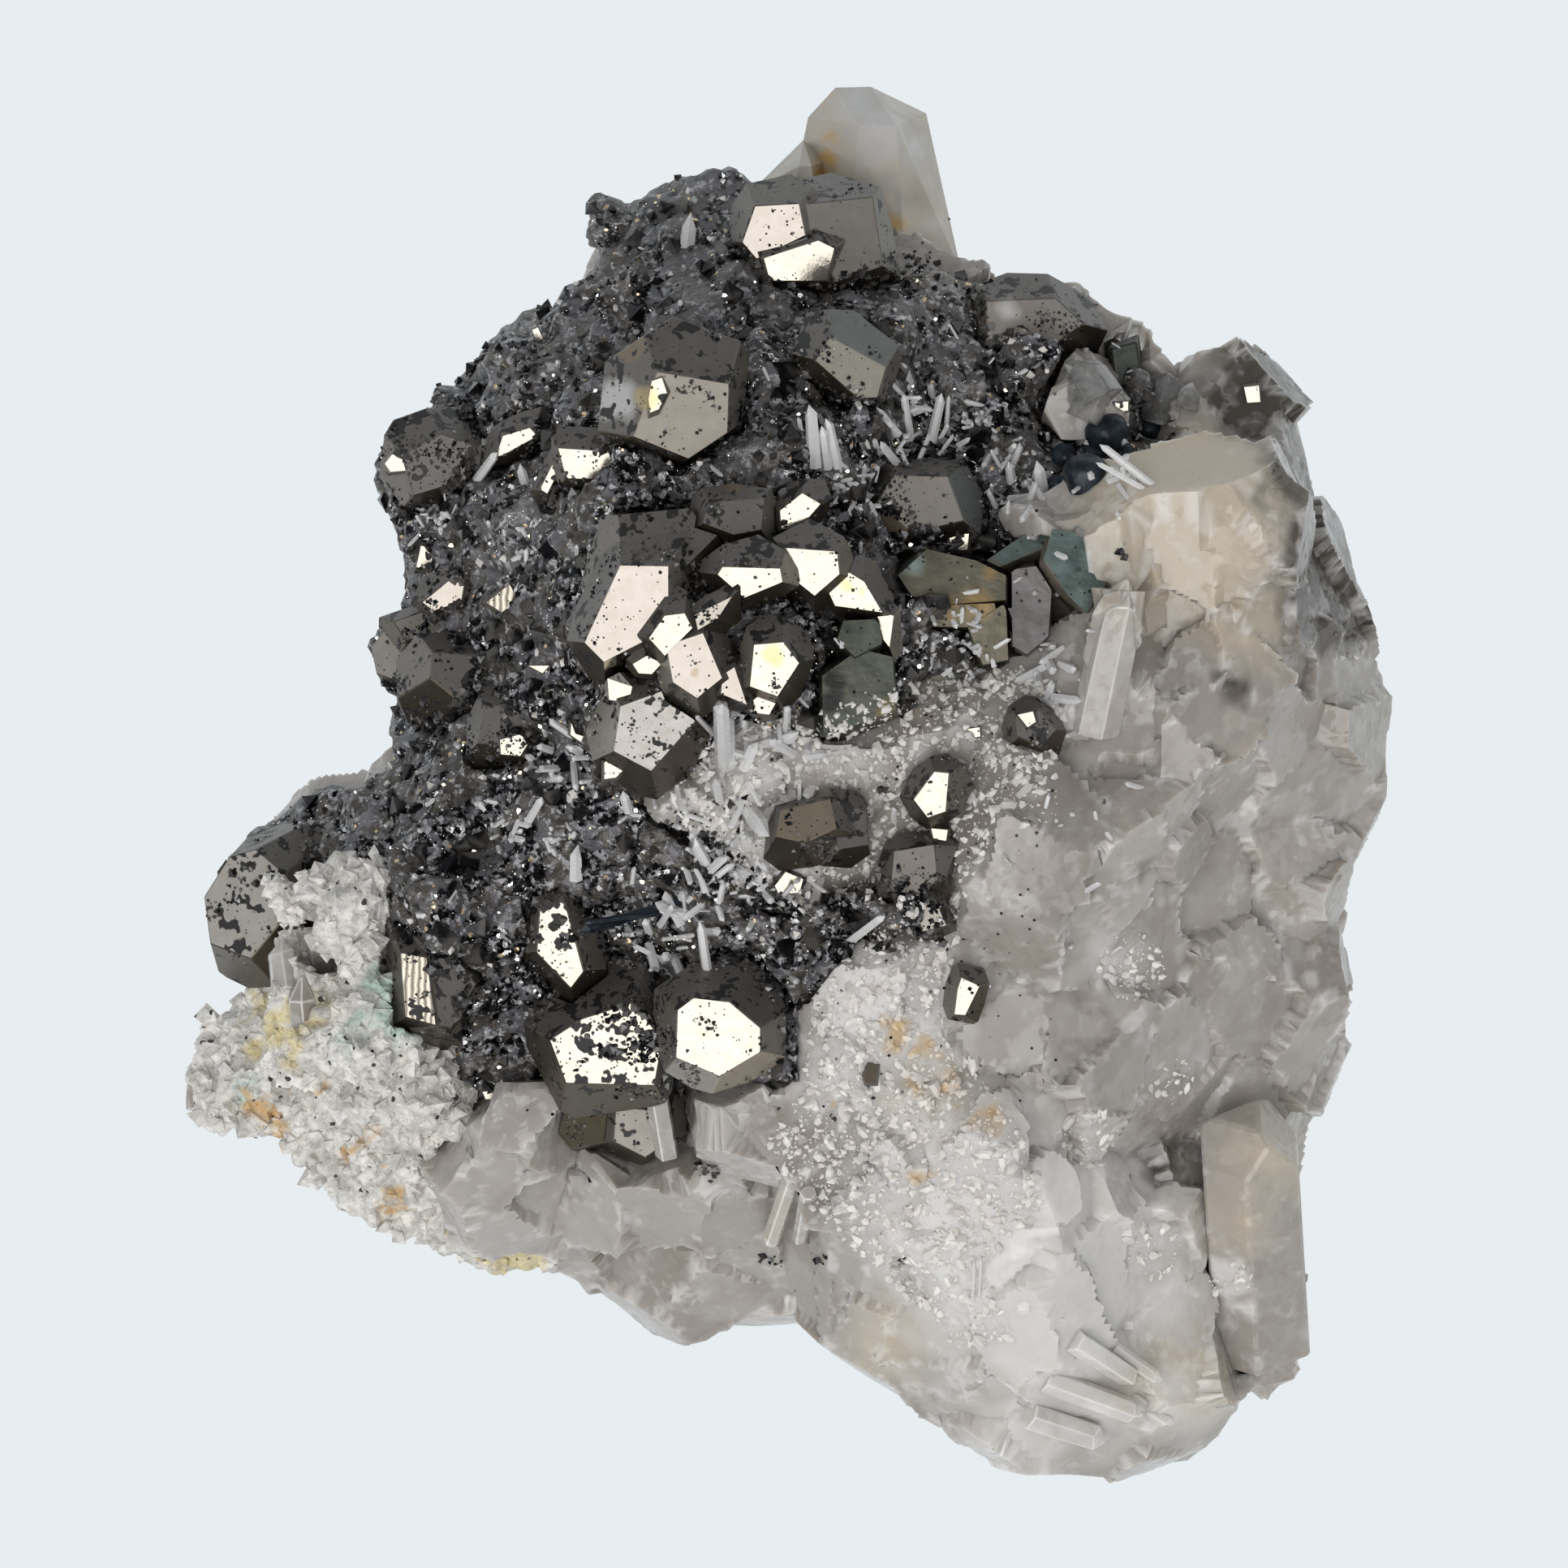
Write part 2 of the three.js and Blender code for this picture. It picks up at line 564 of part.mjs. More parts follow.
// Large quartz crystals as levels of corners, with each level's height over the face of the
// specimen at the first level's middle.
const quartzBlocks = {
  topPoint: [
    [[[988, 250], [990, 165], [996, 136], [1030, 99], [1074, 98], [1143, 131], [1166, 235],
      [1187, 330], [1180, 380], [1000, 380]], -5],
    [[[1058, 150], [1105, 150], [1120, 380], [1040, 380]], 1],
    [[[1050, 180], [1110, 180], [1120, 380], [1040, 380]], -11],
  ],
  besideTopPoint: [
    [[[926, 228], [960, 196], [990, 165], [1020, 190], [1020, 300], [940, 300]], -4],
    [[[985, 200], [1000, 200], [1010, 290], [960, 290]], 0],
    [[[970, 210], [1000, 210], [1010, 290], [960, 290]], -9],
  ],
  paleBlock: [
    [[[1205, 642], [1310, 600], [1400, 584], [1500, 535], [1572, 530], [1618, 660], [1606, 735],
      [1440, 760], [1320, 700]], -2],
    [[[1240, 645], [1400, 598], [1510, 552], [1560, 556], [1596, 655], [1586, 700], [1440, 730],
      [1330, 680]], 3],
    [[[1240, 645], [1400, 598], [1560, 556], [1596, 700], [1440, 730]], -6],
  ],
};

// The quartz crystals that stand out as pieces of their own.
const pointTop = ["topPoint", "besideTopPoint"];
const prismRight = [[1556, 1660], [1532, 1356], 3.3, 1, 7];

// The planes of a convex geometry.
function planesOf(geometry) {
  const { position } = geometry.attributes;
  const corners = [new THREE.Vector3(), new THREE.Vector3(), new THREE.Vector3()];
  const triangle = new THREE.Triangle();
  const planes = [];
  for (let i = 0; i < position.count; i += 3) {
    corners.forEach((corner, k) => corner.fromBufferAttribute(position, i + k));
    triangle.set(...corners);
    const normal = triangle.getNormal(new THREE.Vector3());
    if (triangle.getArea() < 1e-3) continue;
    if (planes.every((plane) => plane.normal.dot(normal) < 0.9999)) {
      planes.push({ normal, far: normal.dot(corners[0]) });
    }
  }
  return planes;
}

// A large crystal inside the hull of its levels, moved out by grow.
function quartzBlock(levels, grow = 0) {
  const middle = new THREE.Vector2();
  const first = levels[0][0].map(place);
  first.forEach((point) => middle.addScaledVector(point, 1 / first.length));
  const ground = faceHeight(middle.x, middle.y);
  const points = [];
  for (const [corners, height] of levels) {
    for (const { x, y } of corners.map(place)) {
      points.push(new THREE.Vector3(x, y, ground + height));
    }
  }
  return insidePlanes(planesOf(new ConvexGeometry(points)), grow);
}

// One crystal as a geometry, laid between its root and its point.
function quartzCrystal([root, point, radius, sink, rise], seed, grow = 0) {
  const random = randomRun(seed);
  const [foot, tip] = [place(root), place(point)];
  const from = new THREE.Vector3(foot.x, foot.y, faceHeight(foot.x, foot.y) - sink);
  const to = new THREE.Vector3(tip.x, tip.y, faceHeight(tip.x, tip.y) + rise);
  const axis = to.clone().sub(from);
  const planes = quartzPlanes(radius, axis.length(), random);
  const geometry = insidePlanes(planes, grow);
  geometry.rotateZ(random() * Math.PI);
  const turn = new THREE.Quaternion().setFromUnitVectors(
    new THREE.Vector3(0, 0, 1),
    axis.normalize(),
  );
  geometry.applyQuaternion(turn);
  geometry.translate(from.x, from.y, from.z);
  return geometry;
}

// How far the next face turns away over the first edge of a front face and over the others: in
// pyrite's five-sided form, and in its tarnished blocks.
const pyriteTurns = [53.1, 66.4];
const blockTurns = [80, 85];

// The planes of one crystal behind its front face. Those at the back are the same, turned about
// the crystal's middle.
function crystalPlanes([corners, lean, rise], turns) {
  const front = new THREE.Vector3(lean[0], lean[1], 1).normalize();
  const flat = corners.map(place);
  const middle = new THREE.Vector2();
  flat.forEach((point) => middle.addScaledVector(point, 1 / flat.length));
  const height = faceHeight(middle.x, middle.y) + rise;
  const onFace = flat.map((point) => {
    const away = point.clone().sub(middle);
    return new THREE.Vector3(point.x, point.y, height - away.x * lean[0] - away.y * lean[1]);
  });
  const seen = new THREE.Vector3(middle.x, middle.y, height);
  const planes = [{ normal: front, far: front.dot(seen) }];
  let reach = 0;
  onFace.forEach((corner, i) => {
    const along = onFace[(i + 1) % onFace.length].clone().sub(corner);
    const outward = along.cross(front).normalize();
    if (outward.dot(corner.clone().sub(seen)) < 0) outward.negate();
    const turn = THREE.MathUtils.degToRad(turns[i === 0 ? 0 : 1]);
    const normal = front.clone().multiplyScalar(Math.cos(turn));
    normal.addScaledVector(outward, Math.sin(turn));
    planes.push({ normal, far: normal.dot(corner) });
    reach += corner.distanceTo(seen) / onFace.length;
  });
  const inside = seen.clone().addScaledVector(front, -crystalDepth * reach);
  const behind = planes.map(({ normal, far }) => ({
    normal: normal.clone().negate(),
    far: far - 2 * normal.dot(inside),
  }));
  return [...planes, ...behind];
}

const pyriteCrystal = (one, grow) => insidePlanes(crystalPlanes(one, pyriteTurns), grow);
const blockCrystal = (one, grow) => insidePlanes(crystalPlanes(one, blockTurns), grow);

// Lumps scattered over part of the face, all moved out by grow.
function lumps({ outline, count, least, most, seed }, grow = 0) {
  const random = randomRun(seed);
  const made = [];
  while (made.length < count) {
    const spot = [200 + 1500 * random(), 200 + 1450 * random()];
    const { x, y } = place(spot);
    if (!isInside(spot, outline) || shareOut(x, y) > 0.92) continue;
    const size = least + (most - least) * random();
    const lump = insidePlanes(grainPlanes(size, random), grow);
    lump.rotateX(random() * Math.PI);
    lump.translate(x, y, faceHeight(x, y) - 0.2 * size);
    made.push(solidOf(lump));
  }
  return joined(made);
}

// Each group of crystals as one solid, and the same a little larger, to make room for it.
const groups = [];
function addGroup(name, finish, list, make) {
  const solid = joined(list.map((one) => solidOf(make(one, 0))));
  const room = joined(list.map((one) => solidOf(make(one, gap))));
  groups.push({ name, finish, solid, room });
}
for (const [name, list] of Object.entries(pyrites)) addGroup(name, "pyrite", list, pyriteCrystal);
for (const [name, list] of Object.entries(tarnished)) addGroup(name, "tarnish", list, blockCrystal);
addGroup("quartz_point_top", "clearQuartz", pointTop, (name, grow) =>
  quartzBlock(quartzBlocks[name], grow),
);
addGroup("quartz_prism_right", "clearQuartz", [prismRight], (one, grow) =>
  quartzCrystal(one, 1220, grow),
);

// A crystal that meets an earlier one gives way to it.
groups.forEach((group, i) => {
  for (const earlier of groups.slice(0, i)) {
    group.solid = group.solid.subtract(earlier.room);
  }
  group.solid = largest(group.solid);
});
const allRooms = joined(groups.map((group) => group.room));

// The body, parted into quartz, crust and rock.
const body = terrain(faceHeight, facetSize, facetRoughness, 3).intersect(sides());
function layerOver(outline, thickness, skirt, grow) {
  const under = (x, y) => heightUnder(x, y, thickness, skirt) - grow;
  return blockOver(outline, grow).subtract(terrain(under, underFacetSize, 0, 5));
}
const crustLayer = (grow) => layerOver(crustOutline, crustThickness, crustSkirt, grow);
const rockLayer = (grow) => layerOver(rockOutline, rockThickness, rockSkirt, grow);
const rockLumps = { outline: rockOutline, count: 14, least: 1.8, most: 3.2, seed: 71 };
const crustLumps = { outline: crustOutline, count: 16, least: 1.6, most: 2.8, seed: 72 };
const rockRoom = joined([rockLayer(gap), lumps(rockLumps, gap)]);

const quartzSolids = quartzCrystals.map((one, i) => solidOf(quartzCrystal(one, 2000 + i)));
const quartzRooms = quartzCrystals.map((one, i) => solidOf(quartzCrystal(one, 2000 + i, gap)));
const paleRoom = solidOf(quartzBlock(quartzBlocks.paleBlock, gap));
const quartzRoom = joined([paleRoom, ...quartzRooms]);

const rock = joined([body.intersect(rockLayer(0)), lumps(rockLumps)]);
const crust = joined([body.intersect(crustLayer(0)), lumps(crustLumps)]);
const paleBlock = solidOf(quartzBlock(quartzBlocks.paleBlock));
const quartz = joined([
  body.subtract(crustLayer(gap)).subtract(rockRoom),
  paleBlock,
  ...quartzSolids,
]);

const aboveBase = new THREE.BoxGeometry(200, 200, 100);
aboveBase.translate(0, 0, 50);
const overBase = solidOf(aboveBase);
const trimmed = (solid) => largest(largest(solid.intersect(overBase)).simplify(fineness));

const rockPiece = trimmed(rock.subtract(quartzRoom).subtract(allRooms));
const crustPiece = trimmed(crust.subtract(quartzRoom).subtract(rockRoom).subtract(allRooms));
const quartzPiece = trimmed(quartz.subtract(lumps(crustLumps, gap)).subtract(allRooms));

const specimen = new THREE.Group();
function add(name, solid, finish) {
  const material = new THREE.MeshStandardMaterial({ ...colours[finish], flatShading: true });
  const mesh = new THREE.Mesh(geometryOf(solid), material);
  mesh.name = name;
  specimen.add(mesh);
}
add("quartz_mass", quartzPiece, "quartz");
add("dark_sulfide_crust", crustPiece, "crust");
add("altered_rock", rockPiece, "rock");
for (const { name, solid, finish } of groups) add(name, solid, finish);

export default specimen;
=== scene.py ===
import json
import math
import random

import bmesh
import bpy
import numpy as np
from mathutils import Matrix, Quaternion, Vector, noise
from mathutils.bvhtree import BVHTree
from mathutils.kdtree import KDTree

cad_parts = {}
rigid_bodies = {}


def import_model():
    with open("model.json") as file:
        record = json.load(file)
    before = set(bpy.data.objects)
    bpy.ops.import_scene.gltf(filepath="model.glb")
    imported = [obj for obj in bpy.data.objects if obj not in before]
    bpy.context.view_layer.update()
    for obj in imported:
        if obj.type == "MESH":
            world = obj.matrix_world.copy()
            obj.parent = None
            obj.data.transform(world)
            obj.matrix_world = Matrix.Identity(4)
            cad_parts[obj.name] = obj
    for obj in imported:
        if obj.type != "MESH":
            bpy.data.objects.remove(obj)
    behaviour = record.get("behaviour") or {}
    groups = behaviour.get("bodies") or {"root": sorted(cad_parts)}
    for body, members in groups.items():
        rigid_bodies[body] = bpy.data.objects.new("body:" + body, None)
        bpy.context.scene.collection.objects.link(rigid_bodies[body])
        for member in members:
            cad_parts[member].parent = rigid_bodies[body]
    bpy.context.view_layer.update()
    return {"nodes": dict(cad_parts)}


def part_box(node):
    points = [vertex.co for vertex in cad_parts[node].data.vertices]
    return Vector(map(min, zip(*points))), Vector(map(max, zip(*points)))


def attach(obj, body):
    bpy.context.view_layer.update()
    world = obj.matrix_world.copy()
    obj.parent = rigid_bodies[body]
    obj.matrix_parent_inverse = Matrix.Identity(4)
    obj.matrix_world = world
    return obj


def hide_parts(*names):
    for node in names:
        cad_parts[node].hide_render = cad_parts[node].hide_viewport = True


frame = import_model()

nodes = frame["nodes"]
scene = bpy.context.scene
mm = 0.001

# Places on the specimen are read off the photo, in its pixels, and turned into metres.
photo = {"width": 1932, "middle": 966, "pixel": 0.055 * mm}
down = Vector((0, 0, -1))
above = 0.2  # a height over everything, from which rays are cast down


def atPhoto(u, v):
    return (u - photo["middle"]) * photo["pixel"], (photo["middle"] - v) * photo["pixel"]


def toPhoto(place):
    return photo["middle"] + place.x / photo["pixel"], photo["middle"] - place.y / photo["pixel"]


def insideOutline(u, v, outline):
    inside = False
    before = outline[-1]
    for corner in outline:
        if (corner[1] > v) != (before[1] > v):
            slope = (before[0] - corner[0]) / (before[1] - corner[1])
            if u < corner[0] + slope * (v - corner[1]):
                inside = not inside
        before = corner
    return inside


# Camera, straight above the face of the specimen with a long lens
camera = {
    "distance": 1.2,
    "levelInFocus": 0.022,  # the height at which the photo's scale holds
    "sensor": 36,
}


def makeCamera():
    data = bpy.data.cameras.new("camera")
    data.sensor_width = camera["sensor"]
    data.lens = camera["sensor"] * camera["distance"] / (photo["width"] * photo["pixel"])
    data.clip_start = 0.05
    data.clip_end = 20
    view = bpy.data.objects.new("camera", data)
    view.location = (0, 0, camera["levelInFocus"] + camera["distance"])
    scene.collection.objects.link(view)
    scene.camera = view


# Light: a big soft box over the lower left, weaker ones at the front and the sides
lighting = {
    "softBoxes": {
        "key": {"at": (-0.2, -0.4, 1.22), "size": 1.15, "watts": 10.5},
        "front": {"at": (0.1, -1.1, 0.8), "size": 0.6, "watts": 1.6},
        "left": {"at": (-1.2, 0.1, 0.6), "size": 0.6, "watts": 1.6},
        "right": {"at": (1.2, 0.2, 0.7), "size": 0.6, "watts": 1.2},
    },
    "aim": (0, 0, 0.02),
    "world": (0.25, 0.255, 0.265),
}


def makeLights():
    for name, box in lighting["softBoxes"].items():
        data = bpy.data.lights.new(name, "AREA")
        data.shape = "SQUARE"
        data.size = box["size"]
        data.energy = box["watts"]
        light = bpy.data.objects.new(name, data)
        light.location = box["at"]
        aim = Vector(lighting["aim"]) - light.location
        light.rotation_euler = aim.to_track_quat("-Z", "Y").to_euler()
        scene.collection.objects.link(light)
    world = bpy.data.worlds.new("studio")
    world.use_nodes = True
    background = world.node_tree.nodes["Background"]
    background.inputs["Color"].default_value = (*lighting["world"], 1)
    scene.world = world
    scene.view_settings.view_transform = "Standard"


makeCamera()
makeLights()
print("camera and light: done")


# Small helpers for shader nodes. A value that goes into a socket is a number, a colour or
# another node's socket.
def connect(tree, value, socket):
    if isinstance(value, bpy.types.NodeSocket):
        tree.links.new(value, socket)
    elif value is not None:
        if socket.type == "RGBA" and len(value) == 3:
            value = (*value, 1)
        socket.default_value = value


def addNode(tree, kind, settings=None, **inputs):
    made = tree.nodes.new("ShaderNode" + kind)
    for name, value in (settings or {}).items():
        setattr(made, name, value)
    for name, value in inputs.items():
        connect(tree, value, made.inputs[name.replace("_", " ")])
    return made


def math2(tree, operation, a, b, c=None, clamp=False):
    made = addNode(tree, "Math", {"operation": operation, "use_clamp": clamp})
    for value, socket in zip((a, b, c), made.inputs):
        connect(tree, value, socket)
    return made.outputs[0]


def times(tree, a, b, clamp=False):
    return math2(tree, "MULTIPLY", a, b, clamp=clamp)


def vectorMath(tree, operation, a, b=None, output=0):
    made = addNode(tree, "VectorMath", {"operation": operation})
    connect(tree, a, made.inputs[0])
    connect(tree, b, made.inputs["Scale" if operation == "SCALE" else 1])
    return made.outputs[output]


def mixColour(tree, share, a, b, blend="MIX"):
    made = addNode(tree, "Mix", {"data_type": "RGBA", "blend_type": blend})
    for value, place in ((share, 0), (a, 6), (b, 7)):
        connect(tree, value, made.inputs[place])
    return made.outputs[2]


def mixValue(tree, share, a, b):
    made = addNode(tree, "Mix")
    for value, place in ((share, 0), (a, 2), (b, 3)):
        connect(tree, value, made.inputs[place])
    return made.outputs[0]


# Inputs are given as name and usual value: a number, or three for a vector
def newGroup(name, inputs, outputs):
    tree = bpy.data.node_groups.new(name, "ShaderNodeTree")
    for label, value in inputs.items():
        kind = "NodeSocketVector" if isinstance(value, tuple) else "NodeSocketFloat"
        tree.interface.new_socket(label, in_out="INPUT", socket_type=kind).default_value = value
    for label, kind in outputs.items():
        tree.interface.new_socket(label, in_out="OUTPUT", socket_type="NodeSocket" + kind)
    start = tree.nodes.new("NodeGroupInput")
    end = tree.nodes.new("NodeGroupOutput")
    return tree, start.outputs, end.inputs


def useGroup(tree, group, **inputs):
    return addNode(tree, "Group", {"node_tree": group}, **inputs).outputs


def inMillimetres(tree, size):
    place = addNode(tree, "TexCoord").outputs["Object"]
    return vectorMath(tree, "SCALE", place, math2(tree, "DIVIDE", 1000.0, size))


def outwardNormal(tree):
    return addNode(tree, "NewGeometry").outputs["Normal"]


# Specks and pits: their size in millimetres and the share of places that have one
def makeSpeckleGroup():
    tree, given, out = newGroup("speckles", {"Size": 1.0, "Amount": 0.3}, {"Mask": "Float"})
    cells = addNode(tree, "TexVoronoi", Vector=inMillimetres(tree, given["Size"]), Scale=1.0)
    parts = addNode(tree, "SeparateColor", Color=cells.outputs["Color"]).outputs
    chosen = math2(tree, "LESS_THAN", parts[0], given["Amount"])
    reach = math2(tree, "MULTIPLY_ADD", parts[1], 0.3, 0.15)
    near = math2(tree, "LESS_THAN", cells.outputs["Distance"], reach)
    connect(tree, times(tree, chosen, near), out["Mask"])
    return tree


# Irregular patches: their size in millimetres, how much they cover and how soft they end
def makePatchGroup():
    inputs = {"Size": 8.0, "Cover": 0.4, "Softness": 0.1, "Shift": 0.0}
    tree, given, out = newGroup("patches", inputs, {"Mask": "Float"})
    moved = vectorMath(tree, "ADD", inMillimetres(tree, given["Size"]), given["Shift"])
    field = addNode(tree, "TexNoise", Vector=moved, Scale=1.0, Detail=2.0, Roughness=0.7)
    level = math2(tree, "SUBTRACT", 0.68, times(tree, given["Cover"], 0.36))
    over = math2(tree, "SUBTRACT", field.outputs["Fac"], level)
    soft = math2(tree, "DIVIDE", over, math2(tree, "MAXIMUM", given["Softness"], 0.005))
    connect(tree, math2(tree, "ADD", soft, 0.5, clamp=True), out["Mask"])
    return tree


# A spot round one place, seen from above
def makeSpotGroup():
    inputs = {"Place": (0, 0, 0), "Centre": (0, 0, 0), "Reach": 3.0, "Softness": 1.0}
    tree, given, out = newGroup("spot", inputs, {"Mask": "Float"})
    away = vectorMath(tree, "DISTANCE", given["Place"], given["Centre"], "Value")
    inside = math2(tree, "SUBTRACT", given["Reach"], away)
    connect(tree, math2(tree, "DIVIDE", inside, given["Softness"], clamp=True), out["Mask"])
    return tree


# Small flat faces that each catch the light in their own direction
def makeGlintGroup():
    outputs = {"Normal": "Vector", "Tone": "Float"}
    tree, given, out = newGroup("glints", {"Size": 0.5, "Strength": 0.5}, outputs)
    cells = addNode(tree, "TexVoronoi", Vector=inMillimetres(tree, given["Size"]), Scale=1.0)
    spread = vectorMath(tree, "SUBTRACT", cells.outputs["Color"], (0.5, 0.5, 0.5))
    strong = vectorMath(tree, "SCALE", spread, times(tree, given["Strength"], 2.0))
    tilted = vectorMath(tree, "ADD", outwardNormal(tree), strong)
    connect(tree, vectorMath(tree, "NORMALIZE", tilted), out["Normal"])
    parts = addNode(tree, "SeparateColor", Color=cells.outputs["Color"]).outputs
    connect(tree, parts[2], out["Tone"])
    return tree


speckles = makeSpeckleGroup()
patches = makePatchGroup()
spot = makeSpotGroup()
glints = makeGlintGroup()
print("node groups: done")


def newMaterial(name, **fixed):
    material = bpy.data.materials.new(name)
    material.use_nodes = True
    tree = material.node_tree
    shader = tree.nodes["Principled BSDF"].inputs
    feed(tree, shader, **fixed)
    return material, tree, shader


def feed(tree, shader, **values):
    for label, value in values.items():
        connect(tree, value, shader[label.replace("_", " ")])


# Distance is in millimetres
def bumpFrom(tree, height, distance, strength, normal=None):
    inputs = {"Height": height, "Strength": strength, "Normal": normal}
    return addNode(tree, "Bump", Distance=distance * mm, **inputs).outputs["Normal"]


def noiseOf(tree, size, detail=3.0):
    place = inMillimetres(tree, size)
    return addNode(tree, "TexNoise", Vector=place, Scale=1.0, Detail=detail).outputs["Fac"]


def patchesOf(tree, size, cover, softness, shift=0.0):
    inputs = {"Size": size, "Cover": cover, "Softness": softness, "Shift": shift}
    return useGroup(tree, patches, **inputs)["Mask"]


def specklesOf(tree, size, amount):
    return useGroup(tree, speckles, Size=size, Amount=amount)["Mask"]


# The colour attribute of a mesh: its three parts, its alpha and the colour as a whole
def attributeParts(tree, name):
    read = addNode(tree, "Attribute", {"attribute_name": name}).outputs
    parts = addNode(tree, "SeparateColor", Color=read["Color"]).outputs
    return *parts, read["Alpha"], read["Color"]


# Spots of some colours, laid over what is there. Wobble moves their edges, in millimetres.
# They fade out on faces that look sideways, so none runs down a side as a band.
def stain(tree, colour, look, kinds, wobble):
    place = inMillimetres(tree, 1.0)
    flat = vectorMath(tree, "MULTIPLY", place, (1, 1, 0))
    waves = addNode(tree, "TexNoise", Vector=place, Scale=0.45, Detail=1.0).outputs["Color"]
    spread = vectorMath(tree, "SUBTRACT", waves, (0.5, 0.5, 0.5))
    push = vectorMath(tree, "MULTIPLY", spread, (wobble, wobble, 0))
    moved = vectorMath(tree, "ADD", flat, push)
    rise = addNode(tree, "SeparateXYZ", Vector=outwardNormal(tree)).outputs["Z"]
    upward = times(tree, rise, 3.5, clamp=True)
    for kind in kinds:
        total = None
        inputs = {"Place": moved, "Softness": look[kind]["soft"]}
        for u, v, reach in look[kind]["spots"]:
            x, y = atPhoto(u, v)
            centre = (x / mm, y / mm, 0)
            mask = useGroup(tree, spot, Centre=centre, Reach=reach, **inputs)["Mask"]
            total = mask if total is None else math2(tree, "MAXIMUM", total, mask)
        share = times(tree, times(tree, total, look[kind]["share"]), upward)
        colour = mixColour(tree, share, colour, look[kind]["colour"])
    return colour


# Milky quartz: grey where it is clearer, white where it is veiled or crushed. The colour
# attribute gives the tone of each face, its whitened edges (partly chipped quartz and partly a
# painted highlight where edges catch light) and how warm it is.
milky = {
    "clearer": (0.285, 0.25, 0.215),
    "veiled": (0.56, 0.53, 0.50),
    # white of the edges: chipped quartz in part, a painted highlight along edges in part
    "chippedAndHighlit": (0.86, 0.84, 0.82),
    "warmTint": (0.56, 0.48, 0.36),
    "ochre": {
        "colour": (0.66, 0.44, 0.18), "share": 0.75, "soft": 0.9,
        "spots": [
            (1098, 1270, 1.2), (1135, 1290, 1.0), (1125, 1340, 0.8), (1165, 1335, 0.9),
            (1215, 1370, 0.9), (1135, 1440, 0.9), (1030, 1355, 0.7),
        ],
    },
    "cream": {
        "colour": (0.62, 0.54, 0.42), "share": 0.8, "soft": 4.0,
        "spots": [
            (1450, 640, 9.0), (1490, 730, 4.0), (1540, 790, 3.5), (1120, 850, 4.0),
            (1030, 950, 2.5), (1140, 1360, 4.5), (1090, 1650, 4.0), (1440, 1700, 5.0),
            (1165, 1335, 2.2), (1215, 1375, 2.2), (1560, 1420, 4.0), (1525, 1500, 3.5),
        ],
    },
    "sugar": {
        "colour": (0.86, 0.84, 0.82), "share": 0.7, "soft": 1.0,
        "spots": [(1515, 1570, 1.5), (1530, 1605, 1.2)],
    },
    "pale": {
        "colour": (0.79, 0.765, 0.74), "share": 0.8, "soft": 4.0,
        "spots": [
            (1350, 1500, 8.0), (1300, 1620, 8.0), (1180, 1470, 9.0), (1430, 1600, 5.0),
            (1440, 1720, 4.0), (1090, 1240, 6.5), (1200, 1600, 6.0), (1250, 1780, 5.0),
            (1350, 1740, 4.0), (920, 960, 5.0), (1040, 910, 4.0), (990, 1180, 3.0),
            (1030, 1320, 5.0), (350, 1150, 3.0), (1370, 1190, 3.5), (1660, 800, 2.5),
        ],
    },
    "smoke": {
        "colour": (0.08, 0.066, 0.052), "share": 0.92, "soft": 1.6,
        "spots": [
            (1515, 855, 1.6), (1250, 1425, 1.0), (1560, 475, 5.0), (1590, 590, 3.0),
            (1655, 680, 5.5), (1640, 740, 4.5), (740, 1590, 0.8), (1405, 1070, 1.0),
            (1435, 1425, 2.2), (1115, 1555, 0.8),
        ],
    },
}


def makeMilkyQuartz():
    material, tree, shader = newMaterial("milkyQuartz", IOR=1.54)
    feed(tree, shader, Subsurface_Weight=0.7, Subsurface_Scale=1.2 * mm)
    feed(tree, shader, Subsurface_Radius=(1.0, 0.9, 0.8))
    tone, chippedAndHighlit, warm, _, _ = attributeParts(tree, "finish")
    flakes = useGroup(tree, glints, Size=0.6, Strength=0.08)
    veils = patchesOf(tree, 4.5, 0.5, 0.35)
    share = math2(tree, "MULTIPLY_ADD", tone, 0.7, times(tree, veils, 0.2))
    colour = mixColour(tree, share, milky["clearer"], milky["veiled"])
    colour = mixColour(tree, warm, colour, milky["warmTint"])
    colour = stain(tree, colour, milky, ("cream", "pale", "sugar", "smoke", "ochre"), 3.5)
    crushed = patchesOf(tree, 2.6, 0.24, 0.12, 7.0)
    broken = times(tree, times(tree, crushed, flakes["Tone"]), 0.35)
    chips = math2(tree, "MULTIPLY_ADD", chippedAndHighlit, 0.5, broken)
    feed(
        tree, shader,
        Base_Color=mixColour(tree, chips, colour, milky["chippedAndHighlit"]),
        Roughness=mixValue(tree, veils, 0.08, 0.32),
        Normal=bumpFrom(tree, noiseOf(tree, 1.4, 2.0), 0.3, 0.3, flakes["Normal"]),
    )
    return material


# White sugary quartz of the druse, greyer on some crystals, ochre in places
def makeSugar():
    material, tree, shader = newMaterial("sugaryQuartz", IOR=1.54)
    tone, _, _, _, _ = attributeParts(tree, "finish")
    colour = mixColour(tree, tone, (0.60, 0.565, 0.53), (0.93, 0.89, 0.84))
    colour = stain(tree, colour, milky, ("smoke", "ochre"), 4.0)
    feed(tree, shader, Base_Color=colour, Roughness=mixValue(tree, tone, 0.12, 0.35))
    return material


